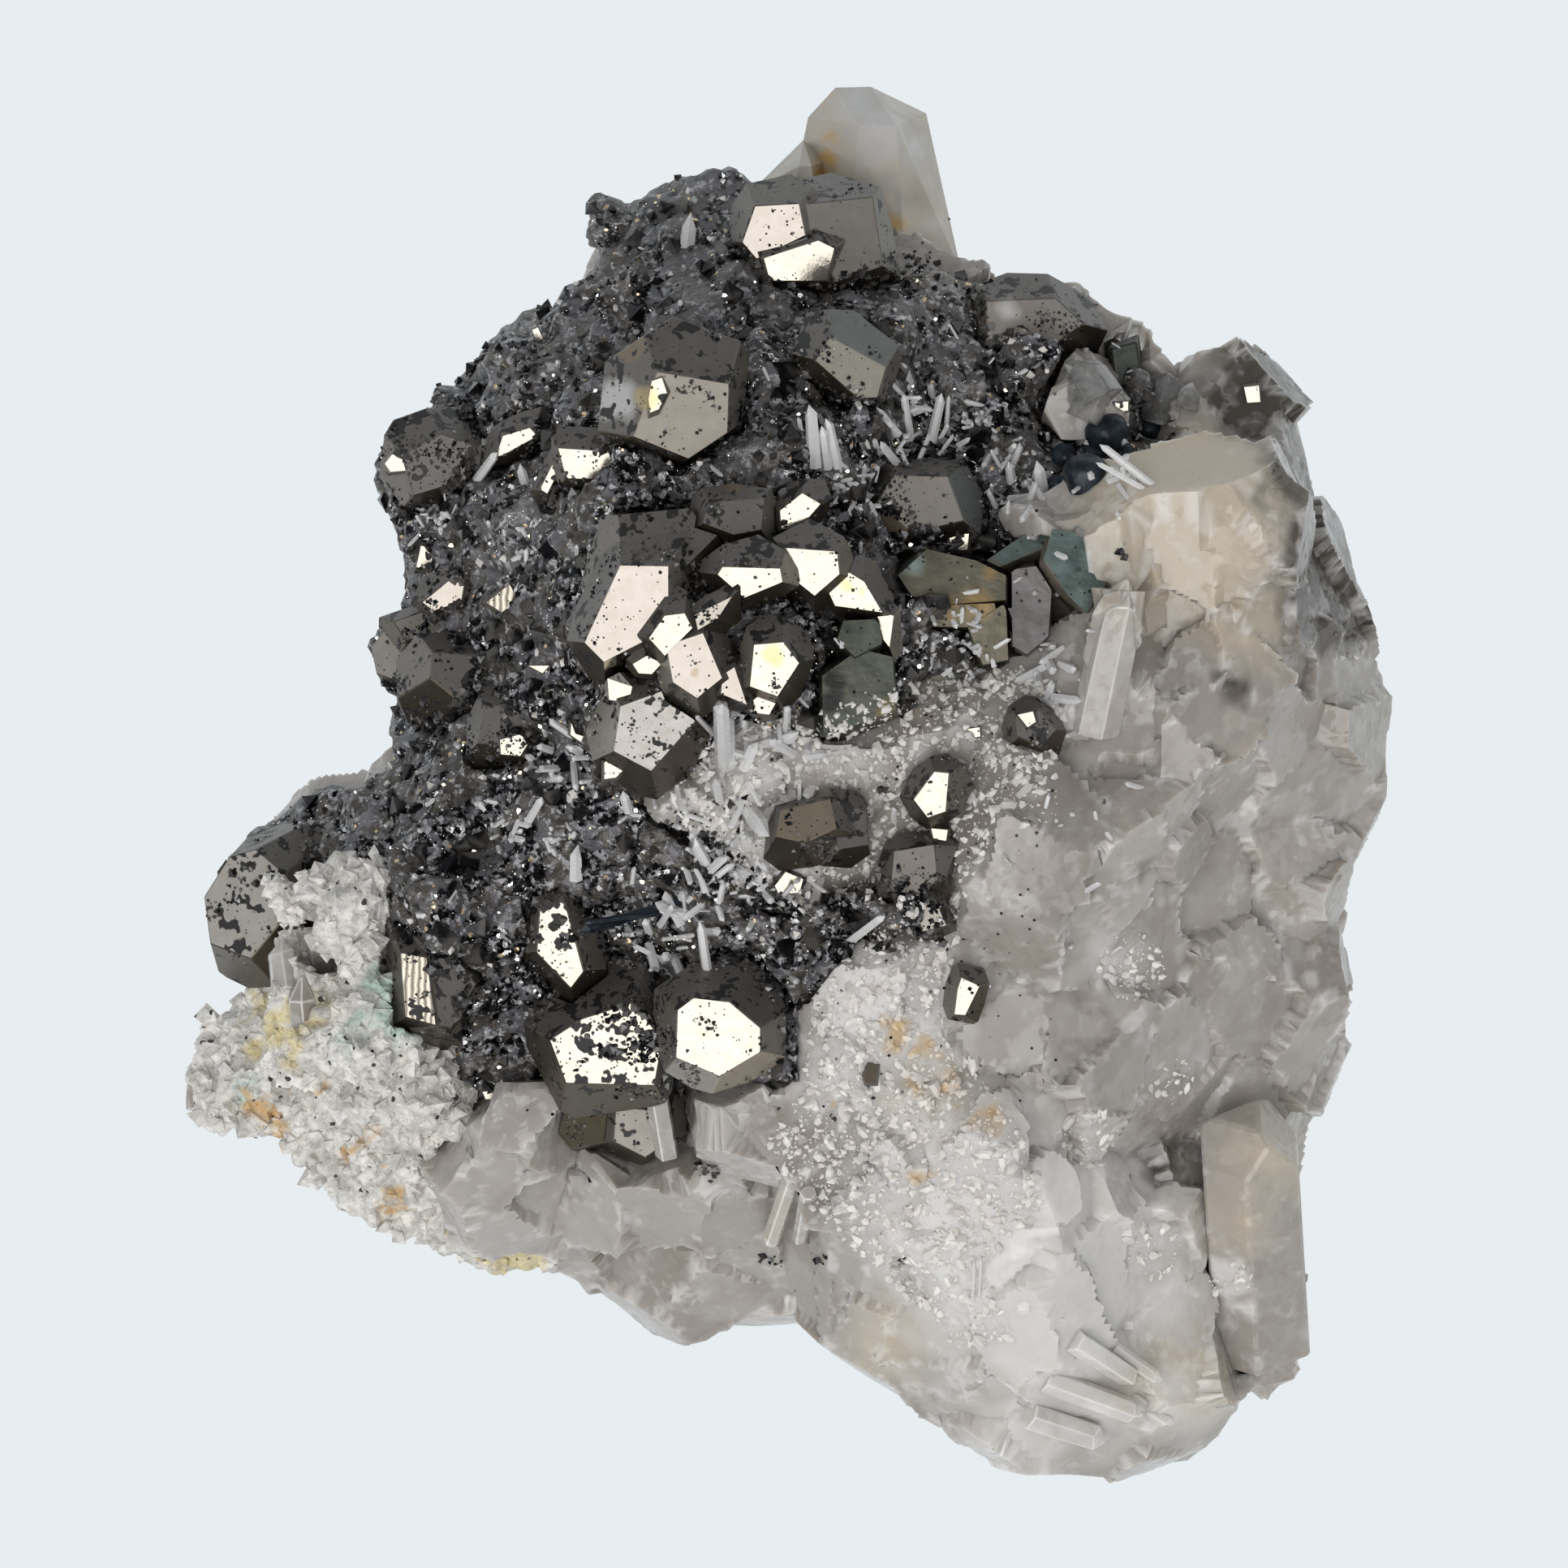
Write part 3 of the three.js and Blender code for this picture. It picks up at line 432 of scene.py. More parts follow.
# Clear quartz of the points and needles, with clouds in it
clearLooks = {
    "point": {
        "tint": (0.66, 0.57, 0.44),
        "cloud": (0.63, 0.58, 0.50),
        "cloudSize": 2.2,
        "roughness": 0.12,
        "passes": 0.15,
        "kinds": ("white", "brown", "yellow", "black"),
        "white": {
            "colour": (0.74, 0.73, 0.72), "share": 0.8, "soft": 1.5,
            "spots": [(1085, 160, 2.6), (1060, 120, 2.2), (1125, 180, 1.6), (1150, 270, 1.2)],
        },
        "yellow": {
            "colour": (0.72, 0.45, 0.12), "share": 0.85, "soft": 0.6,
            "spots": [
                (1024, 165, 0.6), (1020, 190, 0.8), (1014, 215, 0.9), (1106, 272, 0.9),
                (1102, 295, 0.9),
            ],
        },
        "brown": {
            "colour": (0.27, 0.23, 0.17), "share": 0.6, "soft": 2.0,
            "spots": [
                (1060, 222, 1.3), (1135, 320, 2.4), (1100, 345, 1.6), (1130, 240, 1.6),
                (970, 210, 1.6), (1150, 350, 2.0),
            ],
        },
        "black": {
            "colour": (0.03, 0.028, 0.026), "share": 0.9, "soft": 0.3,
            "spots": [(1084, 252, 0.35), (1085, 270, 0.4), (1086, 290, 0.4)],
        },
    },
    "gem": {
        "tint": (0.86, 0.85, 0.83),
        "cloud": (0.55, 0.54, 0.52),
        "cloudSize": 1.2,
        "roughness": 0.05,
        "passes": 0.75,
    },
    "needle": {
        "tint": (0.97, 0.965, 0.955),
        "cloud": (0.93, 0.92, 0.91),
        "cloudSize": 0.8,
        "roughness": 0.08,
        "passes": 0.25,
    },
}


def makeClearQuartz(kind):
    look = clearLooks[kind]
    passes = look["passes"]
    material, tree, shader = newMaterial(kind + "Quartz", IOR=1.54, Transmission_Weight=passes)
    cloudy = patchesOf(tree, look["cloudSize"], 0.5, 0.2)
    colour = mixColour(tree, cloudy, look["tint"], look["cloud"])
    if "kinds" in look:
        colour = stain(tree, colour, look, look["kinds"], 1.5)
    tone, _, _, _, _ = attributeParts(tree, "finish")
    grey = mixColour(tree, 1.0, colour, (0.78, 0.78, 0.79), "MULTIPLY")
    smooth = look["roughness"]
    feed(
        tree, shader,
        Base_Color=mixColour(tree, tone, grey, colour),
        Roughness=mixValue(tree, cloudy, smooth, smooth + 0.25),
    )
    return material


# The dark sulfide: black lumps and clusters of fine crystals that sparkle, smooth brown and
# glassy grey patches, and dust
sulfide = {
    "grey": {
        "colour": (0.21, 0.205, 0.205), "share": 0.38, "soft": 4.0,
        "spots": [
            (850, 270, 9.0), (900, 420, 6.0), (1150, 400, 6.0), (660, 440, 6.0), (640, 640, 5.0),
            (560, 850, 4.0), (900, 560, 5.0),
        ],
    },
    "beige": {
        "colour": (0.30, 0.265, 0.22), "share": 0.65, "soft": 1.5,
        "spots": [(1150, 335, 2.4), (1185, 348, 1.6), (1250, 385, 2.2), (1292, 352, 1.6)],
    },
    "dark": (0.009, 0.009, 0.011),
    "bright": (0.62, 0.62, 0.62),
    "brown": (0.105, 0.094, 0.080),
    "glassy": (0.16, 0.155, 0.168),
    "dust": (0.46, 0.46, 0.48),
    "brass": (0.8, 0.62, 0.4),
}


def makeSulfide():
    material, tree, shader = newMaterial("darkSulfide")
    brown = patchesOf(tree, 2.6, 0.5, 0.06, 5.0)
    glassy = patchesOf(tree, 1.9, 0.38, 0.05, 11.0)
    smooth = math2(tree, "MAXIMUM", brown, glassy)
    rugged = math2(tree, "MULTIPLY_ADD", smooth, -0.5, 0.65)
    faces = useGroup(tree, glints, Size=0.35, Strength=rugged)
    clusters = patchesOf(tree, 1.5, 0.45, 0.1, 3.0)
    tone = math2(tree, "POWER", faces["Tone"], mixValue(tree, clusters, 14.0, 4.0))
    colour = mixColour(tree, tone, sulfide["dark"], sulfide["bright"])
    colour = mixColour(tree, times(tree, brown, 0.85), colour, sulfide["brown"])
    colour = mixColour(tree, times(tree, glassy, 0.8), colour, sulfide["glassy"])
    colour = stain(tree, colour, sulfide, ("grey", "beige"), 5.0)
    dust = times(tree, patchesOf(tree, 0.7, 0.2, 0.08), 0.8)
    colour = mixColour(tree, dust, colour, sulfide["dust"])
    brass = specklesOf(tree, 0.5, 0.05)
    dull = math2(tree, "MAXIMUM", times(tree, smooth, 0.4), dust)
    metal = math2(tree, "SUBTRACT", 0.7, dull, clamp=True)
    feed(
        tree, shader,
        Base_Color=mixColour(tree, brass, colour, sulfide["brass"]),
        Metallic=math2(tree, "MAXIMUM", metal, brass),
        Roughness=mixValue(tree, dull, 0.22, 0.65),
        Normal=bumpFrom(tree, noiseOf(tree, 0.5, 2.0), 0.3, 0.6, faces["Normal"]),
    )
    return material


# Loose grains: from black to grey, each with its own tone, browner in places
def makeGrainCoat():
    material, tree, shader = newMaterial("sulfideGrain")
    own, _, _, _, _ = attributeParts(tree, "finish")
    pale = math2(tree, "POWER", own, 7.0)
    colour = mixColour(tree, pale, sulfide["dark"], sulfide["bright"])
    brown = patchesOf(tree, 2.6, 0.45, 0.1, 5.0)
    feed(
        tree, shader,
        Base_Color=mixColour(tree, times(tree, brown, 0.6), colour, sulfide["brown"]),
        Metallic=math2(tree, "MULTIPLY_ADD", brown, -0.4, 0.6),
        Roughness=mixValue(tree, brown, 0.22, 0.5),
    )
    return material


pyriteStains = {
    "yellow": {
        "colour": (0.42, 0.34, 0.17), "share": 0.75, "soft": 0.4,
        "spots": [(950, 812, 0.9), (1040, 727, 0.6), (1058, 733, 0.4), (800, 500, 0.9)],
    },
    "frost": {
        "colour": (0.75, 0.74, 0.73), "share": 0.55, "soft": 0.8,
        "spots": [(765, 500, 1.7), (722, 640, 1.0), (1240, 380, 1.0)],
    },
    "rust": {
        "colour": (0.20, 0.15, 0.09), "share": 0.6, "soft": 0.2,
        "spots": [(858, 835, 0.35), (775, 428, 1.4), (905, 600, 0.8), (1095, 690, 1.2)],
    },
}


# Pyrite: one attribute gives the colour of each face and how much black coat it has, the other
# its pits, its roughness, its striations and how metallic it looks. The face colour is partly the
# pyrite's own and partly painted highlight and painted shade.
def makePyrite():
    material, tree, shader = newMaterial("pyrite")
    _, _, _, coated, faceColour = attributeParts(tree, "finish")
    pitted, worn, striped, metallic, _ = attributeParts(tree, "wear")
    mottle = noiseOf(tree, 0.9, 4.0)
    shade = mixColour(tree, 1.0, faceColour, (0.72, 0.70, 0.66), "MULTIPLY")
    colour = mixColour(tree, mottle, faceColour, shade)
    place = inMillimetres(tree, 1.0)
    lines = addNode(tree, "TexWave", Vector=place, Scale=0.75, Distortion=3.0, Detail=2.0)
    ribs = times(tree, lines.outputs["Fac"], striped)
    colour = mixColour(tree, ribs, colour, (0.10, 0.09, 0.075))
    colour = stain(tree, colour, pyriteStains, ("frost", "yellow", "rust"), 1.5)
    pits = specklesOf(tree, 0.2, times(tree, pitted, 0.35))
    pits = times(tree, pits, patchesOf(tree, 1.4, 0.5, 0.04, 9.0))
    coat = patchesOf(tree, 1.5, coated, 0.02, 2.0)
    coat = times(tree, coat, math2(tree, "GREATER_THAN", coated, 0.12))
    dark = math2(tree, "MAXIMUM", pits, coat)
    bare = math2(tree, "SUBTRACT", 1.0, times(tree, dark, 0.6))
    height = math2(tree, "SUBTRACT", mottle, times(tree, dark, 2.0))
    feed(
        tree, shader,
        Base_Color=mixColour(tree, dark, colour, (0.020, 0.019, 0.019)),
        Metallic=times(tree, metallic, bare),
        Roughness=mixValue(tree, dark, worn, 0.5),
        Normal=bumpFrom(tree, height, 0.06, 0.3),
    )
    return material


tarnishStains = {
    "golden": {
        "colour": (0.30, 0.205, 0.08), "share": 0.75, "soft": 0.8,
        "spots": [(1200, 745, 1.3), (1168, 752, 1.0), (1218, 705, 0.9), (1095, 880, 1.0)],
    },
    "blue": {
        "colour": (0.24, 0.33, 0.31), "share": 0.7, "soft": 0.8,
        "spots": [(1350, 690, 1.3), (1325, 740, 0.8), (1120, 700, 1.0)],
    },
    # painted shade: near-black spots where hollows lie in shade
    "paintedHollowShade": {
        "colour": (0.02, 0.02, 0.02), "share": 0.85, "soft": 0.4,
        "spots": [(1030, 840, 1.0), (1025, 865, 0.9), (1325, 705, 0.3)],
    },
}


# Tarnished pyrite: a film of one colour on each face, with browner patches and dirt, and painted
# shade in its hollows
def makeTarnish():
    material, tree, shader = newMaterial("tarnish")
    _, _, _, _, faceColour = attributeParts(tree, "finish")
    films = patchesOf(tree, 2.5, 0.5, 0.35)
    browns = patchesOf(tree, 3.0, 0.35, 0.25, 4.0)
    darker = mixColour(tree, 1.0, faceColour, (0.55, 0.56, 0.55), "MULTIPLY")
    colour = mixColour(tree, films, darker, faceColour)
    brown = mixColour(tree, 0.5, faceColour, (0.09, 0.06, 0.03))
    colour = mixColour(tree, times(tree, browns, 0.6), colour, brown)
    colour = stain(tree, colour, tarnishStains, ("golden", "blue", "paintedHollowShade"), 1.5)
    dirt = specklesOf(tree, 0.3, 0.1)
    feed(
        tree, shader,
        Base_Color=mixColour(tree, dirt, colour, (0.025, 0.025, 0.025)),
        Metallic=mixValue(tree, films, 0.6, 0.35),
        Roughness=mixValue(tree, browns, 0.5, 0.35),
        Normal=bumpFrom(tree, noiseOf(tree, 0.9), 0.15, 0.5),
    )
    return material


# Altered rock: crumbly white and grey, stained yellow, ochre and blue-green in places
rockLook = {
    "grey": (0.58, 0.56, 0.52),
    "white": (0.92, 0.89, 0.84),
    "yellow": {
        "colour": (0.78, 0.66, 0.32), "share": 0.75, "soft": 1.2,
        "spots": [(345, 1270, 2.4), (385, 1250, 1.6), (590, 1520, 2.2), (640, 1560, 2.2)],
    },
    "ochre": {
        "colour": (0.68, 0.42, 0.14), "share": 0.8, "soft": 0.8,
        "spots": [
            (318, 1365, 1.6), (338, 1398, 1.2), (490, 1490, 1.0), (440, 1410, 1.1),
            (462, 1400, 0.6), (400, 1330, 0.8),
        ],
    },
    "green": {
        "colour": (0.44, 0.66, 0.58), "share": 0.7, "soft": 1.4,
        "spots": [(500, 1250, 2.2), (470, 1215, 1.6), (300, 1340, 1.2), (450, 1270, 1.4)],
    },
}


def makeRock():
    material, tree, shader = newMaterial("alteredRock", Roughness=0.85)
    pale = patchesOf(tree, 2.0, 0.62, 0.3)
    colour = mixColour(tree, pale, rockLook["grey"], rockLook["white"])
    colour = stain(tree, colour, rockLook, ("yellow", "ochre", "green"), 6.0)
    grit = times(tree, patchesOf(tree, 0.7, 0.4, 0.2, 4.0), 0.4)
    colour = mixColour(tree, grit, colour, (0.3, 0.29, 0.28))
    colour = mixColour(tree, specklesOf(tree, 0.6, 0.08), colour, (0.06, 0.06, 0.06))
    bumpy = bumpFrom(tree, noiseOf(tree, 0.7), 0.4, 0.9)
    feed(tree, shader, Base_Color=colour, Normal=bumpy)
    return material


# Smooth blue-black balls
def makeBlueBlack():
    material, tree, shader = newMaterial("blueBlack", Metallic=0.4)
    film = patchesOf(tree, 1.2, 0.4, 0.3)
    feed(
        tree, shader,
        Base_Color=mixColour(tree, film, (0.012, 0.017, 0.024), (0.03, 0.045, 0.06)),
        Roughness=mixValue(tree, film, 0.3, 0.5),
        Normal=bumpFrom(tree, noiseOf(tree, 0.6), 0.1, 0.5),
    )
    return material


# Small bright faces among the grains, some of them golden
def makeSparkle():
    material, tree, shader = newMaterial("sparkle", Metallic=1.0)
    tone, golden, _, _, _ = attributeParts(tree, "finish")
    colour = mixColour(tree, tone, (0.25, 0.245, 0.24), (0.88, 0.87, 0.85))
    colour = mixColour(tree, golden, colour, (0.88, 0.74, 0.52))
    feed(tree, shader, Base_Color=colour, Roughness=mixValue(tree, tone, 0.3, 0.1))
    return material


materials = {
    "sparkle": makeSparkle(),
    "milky": makeMilkyQuartz(),
    "sugar": makeSugar(),
    "point": makeClearQuartz("point"),
    "gem": makeClearQuartz("gem"),
    "needle": makeClearQuartz("needle"),
    "sulfide": makeSulfide(),
    "grain": makeGrainCoat(),
    "pyrite": makePyrite(),
    "tarnish": makeTarnish(),
    "rock": makeRock(),
    "blueBlack": makeBlueBlack(),
}
print("materials: done")


# Making meshes. Lengths are in millimetres, apart from those of vertices and vectors.
meshing = {
    "mostTriangles": 200000,  # in one piece
    "weld": 0.002,
    "flatWithin": 1.5,  # degrees
    "lowest": 0.02,
    "flatBase": 0.8,  # facets leave what is lower alone
    "sharpOfMany": 0.3,  # least angle of an edge that is worn, in radians
    "sharpOfCopy": 0.25,
    "apart": 7.3,
}
plain = (0.5, 0, 0, 1)


def addPiece(name, mesh, material, smooth=False):
    piece = bpy.data.objects.new(name, mesh)
    mesh.name = name
    mesh.materials.clear()
    mesh.materials.append(material)
    mesh.polygons.foreach_set("use_smooth", [smooth] * len(mesh.polygons))
    scene.collection.objects.link(piece)
    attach(piece, "root")
    triangles = sum(len(polygon.vertices) - 2 for polygon in mesh.polygons)
    assert triangles < meshing["mostTriangles"], f"{name} has {triangles} triangles"
    print(f"{name}: {triangles} triangles")
    return piece


def addSkin(holder, voxel):
    skin = holder.modifiers.new("skin", "REMESH")
    skin.mode = "VOXEL"
    skin.voxel_size = voxel * mm


# The mesh that an object's modifiers give. The object itself goes.
def modified(holder):
    shown = holder.evaluated_get(bpy.context.evaluated_depsgraph_get())
    mesh = bpy.data.meshes.new_from_object(shown)
    bpy.data.objects.remove(holder)
    return mesh


def remeshed(source, voxel):
    holder = bpy.data.objects.new("rough", source.copy())
    scene.collection.objects.link(holder)
    addSkin(holder, voxel)
    return modified(holder)


def readVertices(mesh, kind):
    values = np.empty(len(mesh.vertices) * 3)
    mesh.vertices.foreach_get(kind, values)
    return values.reshape(-1, 3)


def moveVertices(mesh, places):
    places[:, 2] = places[:, 2].clip(meshing["lowest"] * mm)
    mesh.vertices.foreach_set("co", places.reshape(-1))
    mesh.update()


# Waves are given as size and height. Each size has its own part of the noise.
def roughen(mesh, waves):
    places = readVertices(mesh, "co")
    lift = np.zeros(len(places))
    for size, height in waves:
        scaled = places / (size * mm) + size * meshing["apart"]
        lift += [height * mm * noise.noise(Vector(place)) for place in scaled]
    moveVertices(mesh, places + readVertices(mesh, "normal") * lift[:, None])


def treeOf(meshes):
    verts = []
    faces = []
    for mesh in meshes:
        start = len(verts)
        verts += [vertex.co.copy() for vertex in mesh.vertices]
        faces += [[start + i for i in polygon.vertices] for polygon in mesh.polygons]
    return BVHTree.FromPolygons(verts, faces)


def castDown(tree, x, y):
    return tree.ray_cast(Vector((x, y, above)), down)


def dropOnto(tree, u, v):
    return castDown(tree, *atPhoto(u, v))[:2]


# Random places: in a range of the photo, in a box, and some way from a place in the photo
def inRange(look, rng):
    return rng.uniform(*look["across"]), rng.uniform(*look["down"])


def castInBox(tree, box, rng):
    x = rng.uniform(box[0].x, box[1].x)
    y = rng.uniform(box[0].y, box[1].y)
    return castDown(tree, x, y)


def around(u, v, away, rng):
    turn = rng.uniform(0, 2 * math.pi)
    return u + away * math.cos(turn), v + away * math.sin(turn)


# Random patches: whether a place lies in one. The lower the level, the more do.
def crowded(place, size, level):
    return noise.noise(place / mm / size) > level


def sideOf(axis, turn):
    side = axis.orthogonal().normalized()
    side.rotate(Quaternion(axis, turn))
    return side


def spunAxis(normal, rng, least, most):
    tilt = math.radians(rng.uniform(least, most))
    side = sideOf(normal, rng.uniform(0, 2 * math.pi))
    return (normal * math.cos(tilt) + side * math.sin(tilt)).normalized()


# A heap collects the faces of many small things, each face with its finish
def newHeap():
    return {"verts": [], "faces": [], "finish": []}


def addToHeap(heap, verts, faces, finish):
    start = len(heap["verts"])
    heap["verts"] += verts
    heap["faces"] += [tuple(start + i for i in face) for face in faces]
    heap["finish"] += [finish] * len(faces)


def meshOfBmesh(bm, name):
    mesh = bpy.data.meshes.new(name)
    bm.to_mesh(mesh)
    bm.free()
    return mesh


def welded(source):
    bm = bmesh.new()
    bm.from_mesh(source)
    bmesh.ops.remove_doubles(bm, verts=bm.verts, dist=meshing["weld"] * mm)
    return bm


def bevelSharp(bm, edge, leastAngle):
    sharp = [e for e in bm.edges if len(e.link_faces) == 2 and e.calc_face_angle(0) > leastAngle]
    made = bmesh.ops.bevel(
        bm,
        geom=sharp,
        offset=edge * mm,
        offset_type="OFFSET",
        segments=1,
        profile=0.5,
        affect="EDGES",
        clamp_overlap=True,
    )
    return made["faces"]


def meshOfHeap(heap, edge=0.0, chippedAndHighlit=False):
    source = bpy.data.meshes.new("heap")
    source.from_pydata(heap["verts"], [], heap["faces"])
    bm = bmesh.new()
    bm.from_mesh(source)
    layer = bm.loops.layers.float_color.new("finish")
    for face, finish in zip(bm.faces, heap["finish"]):
        for loop in face.loops:
            loop[layer] = finish
    worn = bevelSharp(bm, edge, meshing["sharpOfMany"]) if edge else []
    # Whitened bevel faces: chips in part, a painted edge highlight in part
    for face in worn if chippedAndHighlit else []:
        for loop in face.loops:
            tone, _, warm, _ = loop[layer]
            loop[layer] = (tone, 1, warm, 1)
    return meshOfBmesh(bm, "heap")


# Even directions round an axis, the first of them at random
def directionsRound(axis, count, rng):
    across = sideOf(axis, rng.uniform(0, math.pi))
    beside = axis.cross(across)
    turns = [i * 2 * math.pi / count for i in range(count)]
    return [across * math.cos(turn) + beside * math.sin(turn) for turn in turns], across, beside


# One six-sided crystal with an uneven point
crystalShape = {
    "reach": (0.82, 1.15),
    "longestPoint": 0.6,
    "shoulder": (0.75, 1.3),
    "lean": (-0.35, 0.35),
}
crystalFaces = []
for i in range(6):
    after = (i + 1) % 6
    crystalFaces += [(i, after, 6 + after, 6 + i), (6 + i, 6 + after, 12)]
crystalFaces.append((5, 4, 3, 2, 1, 0))


def growCrystal(heap, foot, axis, radius, length, rng, point=1.3, taper=0.92, finish=plain):
    sides, across, beside = directionsRound(axis, 6, rng)
    pointHeight = min(radius * point, length * crystalShape["longestPoint"])
    reaches = [radius * rng.uniform(*crystalShape["reach"]) for _ in sides]
    verts = [foot + side * reach for side, reach in zip(sides, reaches)]
    for side, reach in zip(sides, reaches):
        height = length - pointHeight * rng.uniform(*crystalShape["shoulder"])
        verts.append(foot + side * reach * taper + axis * height)
    lean = [rng.uniform(*crystalShape["lean"]) for _ in range(2)]
    verts.append(foot + axis * length + (across * lean[0] + beside * lean[1]) * radius)
    addToHeap(heap, verts, crystalFaces, finish)


unlimited = 99


# A crystal between two places in the photo. The ground under its tip counts between least
# and most over its foot, the tip is rise above that, and the foot sinks in by its own radius
# times sink.
def growLeaning(heap, tree, root, tip, radius, rise, rng, least, most, sink, **shape):
    foot, _ = dropOnto(tree, *root)
    if foot is None:
        return
    under, _ = dropOnto(tree, *tip)
    level = foot.z
    if under is not None:
        level = min(max(under.z, foot.z + least * mm), foot.z + most * mm)
    point = Vector((*atPhoto(*tip), level + rise * mm))
    axis = (point - foot).normalized()
    foot = foot - axis * radius * sink * mm
    growCrystal(heap, foot, axis, radius * mm, (point - foot).length, rng, **shape)


# A small lump with a few flat faces
grainReach = (0.6, 1.15)
grainCorners = [(1, 0, 0), (-1, 0, 0), (0, 1, 0), (0, -1, 0), (0, 0, 1), (0, 0, -1)]
grainFaces = [(a, b, c) for a in (0, 1) for b in (2, 3) for c in (4, 5)]
grainFaces = [face[::-1] if sum(face) % 2 else face for face in grainFaces]


def growGrain(heap, place, size, rng, finish=plain):
    turn = Quaternion([rng.gauss(0, 1) for _ in range(4)])
    turn.normalize()
    verts = []
    for corner in grainCorners:
        spoke = Vector(corner) * size * rng.uniform(*grainReach)
        spoke.rotate(turn)
        verts.append(place + spoke)
    addToHeap(heap, verts, grainFaces, finish)


# A small flat-topped crystal, its top and its base given as width and height
plateReach = (0.55, 1.2)
plateRings = ((1.0, 0.5), (1.3, -1.2))
plateFaces = [(0, 1, 2, 3, 4), (9, 8, 7, 6, 5)]
plateFaces += [(i, 5 + i, 5 + (i + 1) % 5, (i + 1) % 5) for i in range(5)]


def growPlate(heap, place, axis, size, rng, finish):
    sides, _, _ = directionsRound(axis, 5, rng)
    reaches = [size * rng.uniform(*plateReach) for _ in sides]
    verts = []
    for wide, height in plateRings:
        for side, reach in zip(sides, reaches):
            verts.append(place + side * reach * wide + axis * size * height)
    addToHeap(heap, verts, plateFaces, finish)


# A copy with its coplanar faces joined and its edges worn; finishOf gives each face one
# colour for each layer
def wornMesh(source, edge, layers, finishOf):
    bm = welded(source)
    bmesh.ops.dissolve_limit(
        bm,
        angle_limit=math.radians(meshing["flatWithin"]),
        verts=bm.verts,
        edges=bm.edges,
        delimit={"NORMAL"},
    )
    attributes = [bm.loops.layers.float_color.new(name) for name in layers]
    for face in bm.faces:
        for attribute, value in zip(attributes, finishOf(face)):
            for loop in face.loops:
                loop[attribute] = value
    bevelSharp(bm, edge, meshing["sharpOfCopy"])
    return meshOfBmesh(bm, source.name)


# Flat facets: each vertex goes towards the plane of the cell that it lies in. Gives the cell
# of each vertex.
def cutFacets(mesh, size, most, lean, rng):
    places = readVertices(mesh, "co")
    area = sum(polygon.area for polygon in mesh.polygons)
    cells = int(area / (size * mm) ** 2)
    finder = KDTree(cells)
    for i, pick in enumerate(rng.sample(range(len(places)), cells)):
        finder.insert(places[pick], i)
    finder.balance()
    owner = np.array([finder.find(place)[1] for place in places])
    middle = np.zeros((cells, 3))
    facing = np.zeros((cells, 3))
    np.add.at(middle, owner, places)
    np.add.at(facing, owner, readVertices(mesh, "normal"))
    middle /= np.bincount(owner, minlength=cells)[:, None].clip(1)
    facing /= np.linalg.norm(facing, axis=1)[:, None].clip(1e-9)
    facing += [[rng.uniform(-lean, lean) for _ in range(3)] for _ in range(cells)]
    facing /= np.linalg.norm(facing, axis=1)[:, None]
    away = ((middle[owner] - places) * facing[owner]).sum(axis=1).clip(-most * mm, most * mm)
    away[places[:, 2] < meshing["flatBase"] * mm] = 0
    moveVertices(mesh, places + facing[owner] * away[:, None])
    return owner


